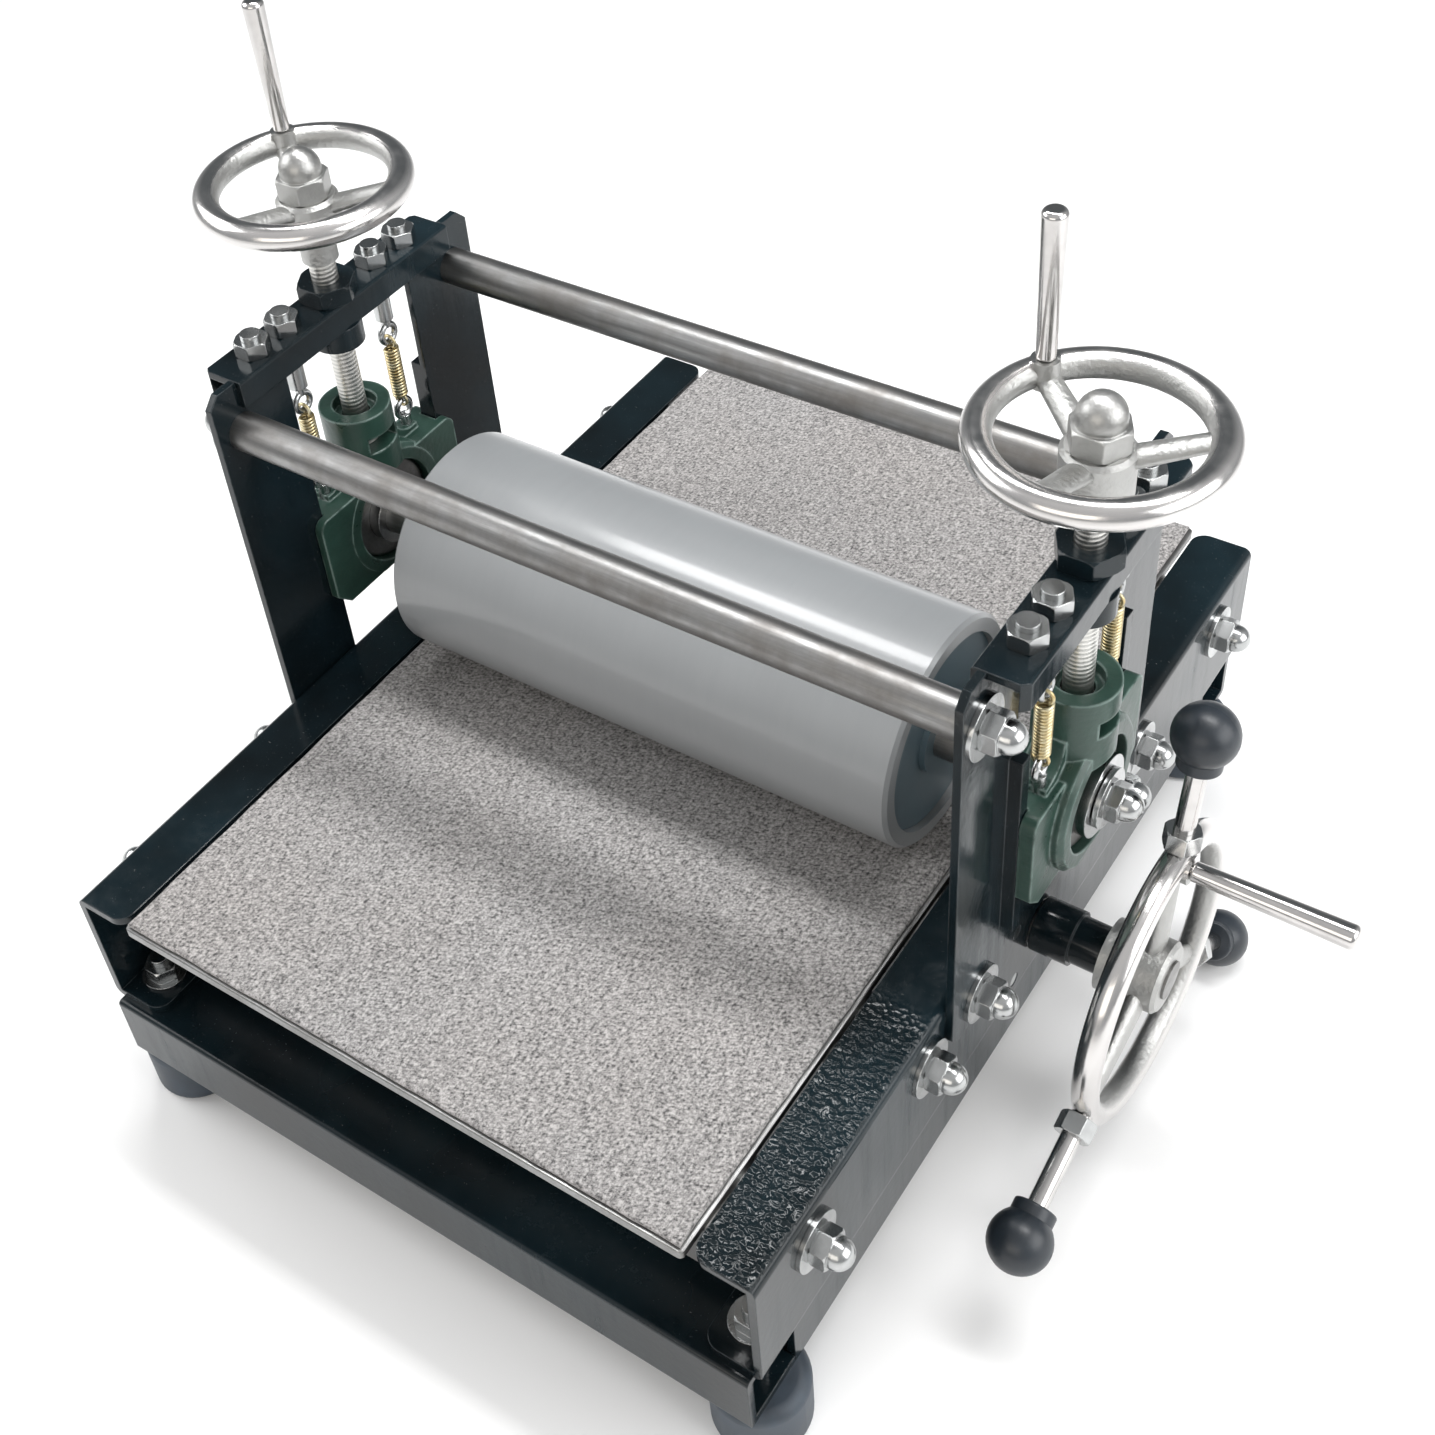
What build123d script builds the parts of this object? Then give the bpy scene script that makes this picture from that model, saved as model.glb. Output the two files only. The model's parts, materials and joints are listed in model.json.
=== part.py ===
"""Tabletop etching press: a felt-topped bed driven between two rollers in a steel frame.

Frame: X runs along the rollers (left is -X), Y along the bed's travel, +Z up.
Pieces are drawn about the middle of the frame, under the roller, then moved so that the
origin is on the bench under the middle of the overall width, drive handle included.
"""
from build123d import *
from math import cos, pi, radians, sin
import os

# ---- driving dimensions (mm) ------------------------------------------------
# base and rails
half_width = 160.0          # centre to the outer face of a rail
rail_length = 418.0
rail_height = 62.0
rail_flange = 26.0
rail_wall = 3.5
rail_bend = 4.0             # outer radius of the folded rail
rail_corner = 7.0           # rounded free corner of a flange
base_height = 33.0          # cross members and sills under the rails
base_wall = 3.5
base_inset = 4.0            # base frame is this much narrower than the rails
cross_lip = 4.0             # cross member stands this far ahead of the rails
cross_depth = 30.0
sill_depth = 24.0
foot_height = 30.0
foot_radius = 19.5
foot_bolt_d = 8.0
foot_in = 13.5              # foot axis in from the outer face of a rail
foot_end = 16.0             # and in from the end of a rail
# posts and crossbars
window_half = 38.5          # half of the opening between two posts
post_width = 40.5
post_wall = 3.2
post_rise = 160.0           # rail top to the ear of a post
post_drop = 23.5            # rail top down to the end of the lap on the rail
post_chamfer = 5.0
guide_depth = 5.5
guide_reach = 5.3           # guide stands this far out of the post face
guide_below = 14.0          # guide runs this far under a lowered housing
guide_above = 12.0          # and this far over the shoulders of a lifted one
lug_depth = 14.0
lug_height = 10.0
lug_overlap = 6.5           # lug stands this far beyond the screw axis
bar_end_in = 15.0           # crossbar ends this far in from the posts' outer edges
bar_width = 20.0
bar_depth = 12.0
bar_wall = 3.0
bar_web = 2.4               # the crossbar's thinner inner wall
screw_out = 7.5             # pressure screw axis beyond the outer face of a rail
# ties, bolts and nuts
tie_in = 13.0               # tie axis in from the outer edge of a post
tie_rise = 138.0
tie_tube_d = 16.0
tie_tube_wall = 2.0
axle_d = 12.0               # an idler's axle between the rails
post_bolt_drop = 11.5
post_bolt_d = 8.0
post_bolt_af = 13.0
washer_d = 24.0
washer_t = 2.0
acorn_af = 14.0
acorn_hex = 6.5
acorn_neck = 1.2            # straight part under the dome
end_nut_af = 14.0
end_nut_hex = 5.5
end_nut_neck = 0.8
stud_d = 8.0
stud_af = 13.0
stud_nut_h = 6.5
stud_over = 2.5             # thread that shows above a nut
stud_in = 6.5               # stud axis out from the window's edge
eye_in = 11.0               # eye axis in from the window's edge
eye_drop = 36.0             # top of the crossbar down to the middle of an eye
eye_rise = 11.0             # shoulder of a housing up to the middle of an eye
eye_screw_d = 5.0
eye_wire = 3.0
eye_radius = 4.2
spring_d = 7.6
spring_wire = 1.5
# rollers
felt_t = 2.5
bed_t = 4.0
bed_gap = 2.0               # bed to the free edge of a rail flange, each side
bed_over = 1.0              # bed stands this far past each end of the rails
felt_inset = 1.2
roller_r = 47.7
roller_in = 14.5            # roller ends in from the edges of the bed
roller_wall = 7.0
roller_recess = 3.0
disc_t = 8.0
shaft_d = 20.0
lower_r = 32.0
lower_in = 14.0
lower_shaft_d = 16.0
idler_drop = 20.0
idler_end = 36.0            # outer idler axis in from the end of a rail
idler_out = 13.0            # inner idler axis out from the outer edge of a post
idler_gap = 6.5             # idler end to the web of a rail
bearing_half_y = 27.0       # flange of a lower bearing
bearing_half_z = 22.0
bearing_flange = 7.0
bearing_boss_r = 19.0
bearing_boss = 17.0
bearing_bolt_d = 6.0
bearing_bolt_in = 7.0       # bolt axes in from the edges of the flange
# bearing housings
groove_gap = 0.5            # groove bottom to the edge of the window
groove_depth = 6.5
housing_t = 24.0
lip_inner = 4.0             # casting on the inner side of a guide
lip_outer = 6.0             # and on the outer side
housing_low = 25.0          # roller axis down to the foot of the casting
shoulder = 23.0             # roller axis up to the shoulders
head_rise = 55.0            # roller axis up to the top of the head
head_r = 15.5
head_bore_r = 9.5           # recess in the top of the head, round the screw
head_bore_deep = 5.0
gusset_rise = 14.0          # webs from the head down to the shoulders
gusset_r = 11.5
boss_r = 31.0
insert_d = 47.0
insert_w = 17.0
inner_ring_d = 29.0
inner_ring_w = 28.0
# screws and handwheels
screw_d = 11.0
screw_nut_r = 9.0
screw_nut_af = 22.0
collar_d = 16.0
collar_h = 7.0
pocket_rise = 14.0          # shoulder up to the floor of the collar's pocket
wheel_ring = 38.5
wheel_tube = 5.3
wheel_rise = 211.0          # rail top to the ring of a top handwheel
hub_r = 12.5
hub_low = 33.0              # ring plane down to the foot of the hub
hub_high = 4.0              # ring plane down to the top of the hub
cap_af = 19.0
cap_hex = 9.0
cap_neck = 2.6
handle_in = 2.5             # handle axis in from the centre line of the ring
handle_seat_r = 5.0
handle_angle = 144.0
handle_length = 55.0
handle_r0 = 3.4
handle_r1 = 4.4
handle_pin_d = 4.0
seat_rise = 1.0             # the pad under a handle stands this far above the ring
# drive wheel
drive_out = 48.0            # wheel plane beyond the outer face of the right rail
drive_ring = 58.5
drive_tube = 5.3
drive_hub_r = 15.0
drive_hub_in = 18.0         # hub from this far inside the wheel plane
drive_hub_out = 7.0         # to this far outside it
drive_angle = 79.0
rod_d = 8.0
rod_entry = 1.5             # ring centre line out to the bottom of a bar's socket
rod_length = 51.5           # bar from its socket to its end in the knob
knob_r = 12.5
knob_grip = 3.5             # a bar ends this far short of the knob's centre
knob_collar_r = 8.5
rod_nut_af = 13.0
rod_nut_h = 8.0
drive_handle_in = 3.5       # handle axis in from the centre line of the ring
drive_handle_length = 62.0
# fits
fit = 0.1                   # clearance on the diameter of a fixed bolt
run = 0.2                   # clearance on the diameter of a turning shaft
slide = 0.3                 # gap between faces that roll or slide
travel = 16.0               # lift of the top roller

# ---- levels and places worked out from them ---------------------------------
sill_z = foot_height
rail_z0 = foot_height + base_height
rail_z1 = rail_z0 + rail_height
bed_z0 = rail_z1 - bed_t
felt_z1 = rail_z1 + felt_t
roller_z = felt_z1 + slide + roller_r
lower_z = bed_z0 - slide - lower_r
idler_z = rail_z1 - idler_drop
idler_r = bed_z0 - slide - idler_z
bed_width = 2 * (half_width - rail_flange - bed_gap)
bed_length = rail_length + 2 * bed_over
roller_half = bed_width / 2 - roller_in
lower_half = bed_width / 2 - lower_in
idler_half = half_width - rail_wall - idler_gap
foot_x = half_width - foot_in
foot_y = rail_length / 2 - foot_end
screw_x = half_width + screw_out
post_y1 = window_half + post_width
post_bolt_y = window_half + post_width / 2
tie_y = post_y1 - tie_in
stud_y = window_half + stud_in
eye_y = window_half - eye_in
bar_half_length = post_y1 - bar_end_in
groove_half = window_half - groove_gap
housing_half = groove_half + groove_depth
idler_out_y = rail_length / 2 - idler_end
idler_in_y = post_y1 + idler_out
idler_ys = (-idler_out_y, -idler_in_y, idler_in_y, idler_out_y)
drive_x = half_width + drive_out
drive_hub_x0 = drive_x - drive_hub_in
drive_hub_x1 = drive_x + drive_hub_out
handle_ring = wheel_ring - handle_in
drive_handle_ring = drive_ring - drive_handle_in
rod_start = drive_ring + rod_entry
rod_end = rod_start + rod_length
knob_ring = rod_end + knob_grip
post_x1 = half_width + post_wall
post_z0 = rail_z1 - post_drop
ear_z = rail_z1 + post_rise
bar_z1 = ear_z
seat_z = bar_z1 - bar_wall
tie_z = rail_z1 + tie_rise
post_bolt_z = rail_z1 - post_bolt_drop
head_z = roller_z + head_rise
shoulder_z = roller_z + shoulder
wheel_z = rail_z1 + wheel_rise
guide_z0 = roller_z - housing_low - guide_below
guide_z1 = shoulder_z + travel + guide_above
eye_top_z = bar_z1 - eye_drop
eye_low_z = shoulder_z + eye_rise
collar_z = shoulder_z + pocket_rise + slide
shaft_end_x = screw_x + inner_ring_w / 2 + 0.5
cross_y = rail_length / 2 + cross_lip
base_x = half_width - base_inset
sides = (-1, 1)
ends = (-1, 1)
right_reach = drive_x + drive_tube + seat_rise + slide + drive_handle_length
left_reach = screw_x + wheel_ring + wheel_tube
origin_x = (right_reach - left_reach) / 2    # middle of the overall width


# ---- helpers ------------------------------------------------------------------
def rod(axis, radius, start, stop, a, b):
    """A round bar along an axis, from start to stop, at the other two coordinates."""
    bar = Cylinder(radius, abs(stop - start))
    mid = (start + stop) / 2
    if axis == "x":
        return Pos(mid, a, b) * Rot(0, 90, 0) * bar
    if axis == "y":
        return Pos(a, mid, b) * Rot(90, 0, 0) * bar
    return Pos(a, b, mid) * bar


def block(x0, x1, y0, y1, z0, z1):
    """A box between two corners."""
    size = Box(abs(x1 - x0), abs(y1 - y0), abs(z1 - z0))
    return Pos((x0 + x1) / 2, (y0 + y1) / 2, (z0 + z1) / 2) * size


def edges_near(shape, axis, test):
    """Edges along an axis whose centre passes the test."""
    return [e for e in shape.edges().filter_by(axis) if test(e.center())]


def hex_body(across, height):
    """A hexagon prism from z = 0 with its corners turned off."""
    prism = extrude(RegularPolygon(across / 2, 6, major_radius=False), height)
    blank = Pos(0, 0, height / 2) * Cylinder(across * 0.575, height)
    turned = chamfer(blank.edges().filter_by(GeomType.CIRCLE), across * 0.05)
    return prism & turned


def hex_nut(across, height, bore):
    """A plain nut standing on z = 0."""
    return hex_body(across, height) - Pos(0, 0, height / 2) * Cylinder(bore / 2, height * 2)


def acorn_nut(across, hexagon, neck, bore):
    """A domed nut standing on z = 0, with a blind bore."""
    radius = across * 0.44
    dome = Pos(0, 0, hexagon + neck / 2) * Cylinder(radius, neck)
    dome += Pos(0, 0, hexagon + neck) * Sphere(radius) & block(-99, 99, -99, 99, hexagon, 99)
    drilled = hexagon + neck + radius * 0.5
    return hex_body(across, hexagon) + dome - Pos(0, 0, drilled / 2) * Cylinder(bore / 2, drilled)


def washer(outer, thick, bore):
    """A flat washer standing on z = 0."""
    ring = Pos(0, 0, thick / 2) * Cylinder(outer / 2, thick)
    return ring - Pos(0, 0, thick / 2) * Cylinder(bore / 2, thick * 2)


def facing(side):
    """Turn +Z to point out of the press on the side given."""
    return Rot(0, 90 * side, 0)


def group(parts):
    """Several separate solids in one node."""
    solids = []
    for part in parts:
        solids.extend(part.solids())
    return Compound(children=solids)


# ---- base frame ---------------------------------------------------------------
def rail(side):
    """A folded channel: web outside, both flanges turned in."""
    outer = Rectangle(rail_flange, rail_height)
    inner = Pos(-rail_wall, 0) * Rectangle(rail_flange, rail_height - 2 * rail_wall)
    outer = fillet(outer.vertices().group_by(Axis.X)[-1], rail_bend)
    profile = Pos(half_width - rail_flange / 2, (rail_z0 + rail_z1) / 2) * (outer - inner)
    beam = extrude(Plane.XZ * profile, rail_length / 2, both=True)
    free_x = half_width - rail_flange
    corners = edges_near(beam, Axis.Z, lambda c: c.X < free_x + 1)
    beam = fillet(corners, rail_corner)
    for y in idler_ys:
        beam -= rod("x", (stud_d + fit) / 2, 0, 999, y, idler_z)
    for end in ends:
        beam -= rod("x", (post_bolt_d + fit) / 2, 0, 999, end * post_bolt_y, post_bolt_z)
        beam -= rod("z", (foot_bolt_d + fit) / 2, rail_z0 - 5, rail_z0 + 8, foot_x, end * foot_y)
    beam -= rod("x", (lower_shaft_d + 4) / 2, 0, 999, 0, lower_z)
    for y, z in bearing_bolts():
        beam -= rod("x", (bearing_bolt_d + fit) / 2, 0, 999, y, z)
    return beam if side > 0 else mirror(beam, Plane.YZ)


def bearing_bolts():
    """Places of the four bolts round a lower bearing."""
    dy = bearing_half_y - bearing_bolt_in
    dz = bearing_half_z - bearing_bolt_in
    return [(sy * dy, lower_z + sz * dz) for sy in (-1, 1) for sz in (-1, 1)]


def cross_member(end):
    """A channel across the press, open to the inside, under both rail ends."""
    y_in = cross_y - cross_depth
    beam = block(-base_x, base_x, y_in, cross_y, sill_z, rail_z0)
    hollow_top = rail_z0 - base_wall
    beam -= block(-999, 999, y_in - 1, cross_y - base_wall, sill_z + base_wall, hollow_top)
    beam = fillet(edges_near(beam, Axis.X, lambda c: c.Y > cross_y - 0.1), 2.0)
    for side in sides:
        beam -= rod("z", (foot_bolt_d + fit) / 2, 0, rail_z0 + 5, side * foot_x, foot_y)
    return beam if end > 0 else mirror(beam, Plane.XZ)


def sill(side):
    """An angle that closes the base frame between the cross members."""
    reach = cross_y - cross_depth - 0.3
    top = block(base_x - sill_depth, base_x, -reach, reach, rail_z0 - base_wall, rail_z0)
    face = block(base_x - base_wall, base_x, -reach, reach, sill_z, rail_z0)
    outer = edges_near(top + face, Axis.Y, lambda c: c.X > base_x - 0.1 and c.Z > rail_z0 - 1)
    beam = fillet(outer, 2.0)
    return beam if side > 0 else mirror(beam, Plane.YZ)


def foot(side, end):
    """A round rubber foot with a recess for the bolt head."""
    body = Pos(0, 0, foot_height / 2) * Cylinder(foot_radius, foot_height)
    body = fillet(body.edges().group_by(Axis.Z)[0], 4.0)
    body = fillet(body.edges().group_by(Axis.Z)[-1], 5.0)
    body -= Pos(0, 0, 3.75) * Cylinder(7.6, 7.5)
    body -= Cylinder((foot_bolt_d + fit) / 2, foot_height * 3)
    return Pos(side * foot_x, end * foot_y, 0) * body


def foot_bolt(side, end):
    """A hexagon bolt up through foot, cross member and rail."""
    top = rail_z0 + rail_wall + 12.0
    head = Pos(0, 0, 2.5) * hex_body(13.0, 5.0)
    shank = rod("z", foot_bolt_d / 2, 7.0, top, 0, 0)
    return Pos(side * foot_x, end * foot_y, 0) * (head + shank)


def foot_nut(side, end):
    """The nut and washer on the rail's lower flange."""
    seat = rail_z0 + rail_wall
    ring = washer(19.0, 1.5, foot_bolt_d + fit)
    nut = Pos(0, 0, 1.5) * hex_nut(13.0, 6.5, foot_bolt_d + fit)
    return Pos(side * foot_x, end * foot_y, seat) * (ring + nut)


# ---- posts and crossbars --------------------------------------------------------
def post(side, end):
    """A flat upright with a guide along the window and a lug for the crossbar."""
    web = block(half_width, post_x1, window_half, post_y1, post_z0, ear_z)
    web = chamfer(edges_near(web, Axis.X, lambda c: c.Y > post_y1 - 1), post_chamfer)
    bar_end = bar_half_length + 0.3
    web -= block(0, 999, 0, bar_end, seat_z, 999)
    guide_x1 = post_x1 + guide_reach
    guide_y1 = window_half + guide_depth
    web += block(half_width, guide_x1, window_half, guide_y1, guide_z0, guide_z1)
    lug_y1 = stud_y + lug_depth / 2
    lug_x1 = screw_x + lug_overlap
    web += block(half_width, lug_x1, window_half, lug_y1, seat_z - lug_height, seat_z)
    web -= rod("x", (stud_d + fit) / 2, 0, 999, tie_y, tie_z)
    web -= rod("x", (post_bolt_d + fit) / 2, 0, 999, post_bolt_y, post_bolt_z)
    web -= rod("z", (stud_d + fit) / 2, seat_z - 30, seat_z + 5, screw_x, stud_y)
    if end < 0:
        web = mirror(web, Plane.XZ)
    return web if side > 0 else mirror(web, Plane.YZ)


def crossbar(side):
    """A shallow inverted channel over two posts; it holds the screw nut."""
    x0 = screw_x - bar_width / 2
    x1 = screw_x + bar_width / 2
    bar = block(x0, x1, -bar_half_length, bar_half_length, bar_z1 - bar_depth, bar_z1)
    bar -= block(x0 + bar_web, x1 - bar_wall, -999, 999, 0, seat_z)
    corners = edges_near(bar, Axis.Z, lambda c: c.X > x1 - 0.1 and abs(c.Y) > bar_half_length - 1)
    bar = chamfer(corners, bar_wall * 0.9)
    outer = edges_near(bar, Axis.Y, lambda c: c.Z > bar_z1 - 0.1)
    bar = fillet(outer, 1.2)
    for end in ends:
        for y in (stud_y, eye_y):
            bar -= rod("z", (stud_d + fit) / 2, 0, 999, screw_x, end * y)
    bar -= rod("z", screw_nut_r + fit / 2, 0, 999, screw_x, 0)
    return bar if side > 0 else mirror(bar, Plane.YZ)


def screw_nut(side):
    """The nut that the pressure screw turns in: a boss through the bar, hexagon above."""
    low = bar_z1 - bar_depth
    body = rod("z", screw_nut_r, low - 1.0, bar_z1, 0, 0)
    body += rod("z", screw_nut_r + 2.0, low - 10.0, low, 0, 0)
    body += Pos(0, 0, bar_z1) * hex_body(screw_nut_af, 8.0)
    body -= rod("z", (screw_d + run) / 2, 0, 999, 0, 0)
    return Pos(side * screw_x, 0, 0) * body


def bar_stud(side, end):
    """The stud that clamps a crossbar to the lug of a post."""
    low = seat_z - lug_height
    stud = rod("z", stud_d / 2, low, bar_z1 + stud_nut_h + stud_over, 0, 0)
    return Pos(side * screw_x, end * stud_y, 0) * stud


def bar_nut(side, end):
    """The nut that clamps the crossbar down on a post."""
    nut = hex_nut(stud_af, stud_nut_h, stud_d + fit)
    return Pos(side * screw_x, end * stud_y, bar_z1) * nut


def eye_ring(x, y, z):
    """The round eye of a spring bolt, lying in the YZ plane."""
    return Pos(x, y, z) * Rot(0, 90, 0) * Torus(eye_radius, eye_wire / 2)


def upper_eye(side, end):
    """An eye bolt hanging through the crossbar."""
    x = side * screw_x
    y = end * eye_y
    shank = rod("z", stud_d / 2, eye_top_z + 8.0, bar_z1 + stud_nut_h + stud_over, x, y)
    neck = rod("z", eye_wire / 2 + 0.4, eye_top_z + eye_radius - 0.6, eye_top_z + 8.5, x, y)
    return shank + neck + eye_ring(x, y, eye_top_z)


def eye_nut(side, end):
    """The nut that hangs an eye bolt from the crossbar."""
    return Pos(side * screw_x, end * eye_y, bar_z1) * hex_nut(stud_af, stud_nut_h, stud_d + fit)


def lower_eye(side, end):
    """An eye screwed into the shoulder of a bearing housing."""
    x = side * screw_x
    y = end * eye_y
    shank = rod("z", eye_screw_d / 2, shoulder_z - 8.0, eye_low_z - eye_radius + 0.6, x, y)
    return shank + eye_ring(x, y, eye_low_z)


def spring(side, end):
    """A close-wound return spring, as a round bar with two end loops."""
    x = side * screw_x
    y = end * eye_y
    low = eye_low_z + eye_radius + 0.3
    high = eye_top_z - eye_radius - 0.3
    coil = spring_d / 2
    loop_r = coil - spring_wire / 2
    body = rod("z", coil, low + loop_r, high - loop_r, x, y)
    for z in (low, high):
        body += Pos(x, y, z) * Rot(90, 0, 0) * Torus(loop_r, spring_wire / 2)
    return body


# ---- ties and fasteners ---------------------------------------------------------
def tie_tube(end):
    """A plain tube that spaces the posts."""
    tube = rod("x", tie_tube_d / 2, -half_width, half_width, end * tie_y, tie_z)
    bore = tie_tube_d / 2 - tie_tube_wall
    return tube - rod("x", bore, -999, 999, end * tie_y, tie_z)


def tie_rod(end):
    """The threaded rod inside a tie tube."""
    reach = post_x1 + washer_t + acorn_hex + 2.0
    return rod("x", stud_d / 2, -reach, reach, end * tie_y, tie_z)


def post_bolt(side, end):
    """The short bolt that laps a post on its rail, head inside with a flat up."""
    inner = half_width - rail_wall
    outer = post_x1 + washer_t + acorn_hex + 2.0
    shank = rod("x", post_bolt_d / 2, inner - 1, outer, 0, 0)
    head = Pos(inner, 0, 0) * Rot(0, -90, 0) * Rot(0, 0, 30) * hex_body(post_bolt_af, 5.0)
    bolt = Pos(0, end * post_bolt_y, post_bolt_z) * (shank + head)
    return bolt if side > 0 else mirror(bolt, Plane.YZ)


def idler_axle(y):
    """The fixed axle of an idler roller, its threaded ends through both rails."""
    shoulder_x = half_width - rail_wall
    reach = half_width + washer_t + acorn_hex + 2.0
    axle = rod("x", axle_d / 2, -shoulder_x, shoulder_x, y, idler_z)
    return axle + rod("x", stud_d / 2, -reach, reach, y, idler_z)


def nut_seats():
    """Outside faces that take a washer and acorn nut: x, y, z, bolt diameter."""
    seats = [(post_x1, end * tie_y, tie_z, stud_d) for end in ends]
    seats += [(post_x1, end * post_bolt_y, post_bolt_z, post_bolt_d) for end in ends]
    seats += [(half_width, y, idler_z, stud_d) for y in idler_ys]
    return seats


def washers():
    """Every washer on the outside of the frame."""
    made = []
    for side in sides:
        for x, y, z, bolt in nut_seats():
            ring = washer(washer_d, washer_t, bolt + fit)
            made.append(Pos(side * x, y, z) * facing(side) * ring)
    return made


def acorn_nuts():
    """Every acorn nut on the outside of the frame."""
    made = []
    for side in sides:
        for x, y, z, bolt in nut_seats():
            nut = acorn_nut(acorn_af, acorn_hex, acorn_neck, bolt + fit)
            made.append(Pos(side * (x + washer_t), y, z) * facing(side) * nut)
    return made


def lower_bearing(side):
    """A square flanged bearing bolted inside the rail web, with its bolts."""
    x1 = half_width - rail_wall
    low = lower_z - bearing_half_z
    high = lower_z + bearing_half_z
    plate = block(x1 - bearing_flange, x1, -bearing_half_y, bearing_half_y, low, high)
    plate = fillet(plate.edges().filter_by(Axis.X), bearing_bolt_in)
    plate += rod("x", bearing_boss_r, x1 - bearing_boss, x1, 0, lower_z)
    plate -= rod("x", (lower_shaft_d + run) / 2, 0, 999, 0, lower_z)
    for y, z in bearing_bolts():
        plate -= rod("x", (bearing_bolt_d + fit) / 2, 0, 999, y, z)
    return plate if side > 0 else mirror(plate, Plane.YZ)


def lower_bearing_bolt(side, y, z):
    """A cap screw from inside, its end flush with the web."""
    x1 = half_width - rail_wall
    seat = x1 - bearing_flange
    bolt = rod("x", bearing_bolt_d / 2, seat - 1.0, half_width - 0.2, y, z)
    bolt += rod("x", bearing_bolt_d * 0.75, seat - 5.0, seat, y, z)
    return bolt if side > 0 else mirror(bolt, Plane.YZ)


# ---- bed and rollers --------------------------------------------------------------
def bed_plate():
    """The steel bed that runs between the rail flanges."""
    half_w = bed_width / 2
    half_l = bed_length / 2
    plate = block(-half_w, half_w, -half_l, half_l, bed_z0, rail_z1)
    plate = fillet(plate.edges().filter_by(Axis.Z), 2.0)
    return chamfer(plate.edges().group_by(Axis.Z)[-1], 0.4)


def felt():
    """The felt blanket laid on the bed."""
    half_w = bed_width / 2 - felt_inset
    half_l = bed_length / 2 - felt_inset
    sheet = block(-half_w, half_w, -half_l, half_l, rail_z1, felt_z1)
    return fillet(sheet.edges().filter_by(Axis.Z), 2.0)


def top_roller():
    """The hollow upper roller."""
    shell = rod("x", roller_r, -roller_half, roller_half, 0, roller_z)
    shell = chamfer(shell.edges().filter_by(GeomType.CIRCLE), 1.5)
    return shell - rod("x", roller_r - roller_wall, -999, 999, 0, roller_z)


def end_disc(side):
    """A disc welded in the end of the upper roller."""
    outer = roller_half - roller_recess
    disc = rod("x", roller_r - roller_wall, outer - disc_t, outer, 0, roller_z)
    disc += rod("x", 17.0, outer, outer + 2.5, 0, roller_z)
    disc -= rod("x", (shaft_d + fit) / 2, 0, 999, 0, roller_z)
    return disc if side > 0 else mirror(disc, Plane.YZ)


def roller_shaft():
    """The upper roller's shaft, journal to journal."""
    shaft = rod("x", shaft_d / 2, -shaft_end_x, shaft_end_x, 0, roller_z)
    shaft = chamfer(shaft.edges().filter_by(GeomType.CIRCLE), 1.0)
    end = shaft_end_x + washer_t + end_nut_hex + 1.0
    return shaft + rod("x", stud_d / 2, -end, end, 0, roller_z)


def shaft_end(side):
    """The washer and domed nut on the end of the upper shaft."""
    ring = washer(washer_d, washer_t, stud_d + fit)
    nut = acorn_nut(end_nut_af, end_nut_hex, end_nut_neck, stud_d + fit)
    nut = Pos(0, 0, washer_t) * nut
    return Pos(side * shaft_end_x, 0, roller_z) * facing(side) * (ring + nut)


def inner_ring(side):
    """The wide inner ring of an insert bearing, with its set-screw collar."""
    half = inner_ring_w / 2
    ring = rod("x", inner_ring_d / 2, -half, half, 0, 0)
    collar_x = insert_w / 2 + 1.0
    ring += rod("x", inner_ring_d / 2 + 2.0, collar_x, half, 0, 0)
    ring -= rod("x", (shaft_d + fit) / 2, -99, 99, 0, 0)
    ring -= rod("z", 1.5, 8.0, 30.0, (collar_x + half) / 2, 0)
    ring = ring if side > 0 else mirror(ring, Plane.YZ)
    return Pos(side * screw_x, 0, roller_z) * ring


def outer_ring(side):
    """The barrelled outer ring of an insert bearing."""
    half = insert_w / 2
    ring = rod("x", insert_d / 2, -half, half, 0, 0)
    ring = fillet(ring.edges().filter_by(GeomType.CIRCLE), 2.0)
    ring -= rod("x", (inner_ring_d + run) / 2, -99, 99, 0, 0)
    return Pos(side * screw_x, 0, roller_z) * ring


def housing_outline():
    """The side of a bearing housing in Y and Z about the roller axis."""
    height = housing_low + shoulder
    body = Pos(0, shoulder - height / 2) * Rectangle(2 * housing_half, height)
    corners = body.vertices().group_by(Axis.Y)[0]
    return chamfer(corners, 7.0)


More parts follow.
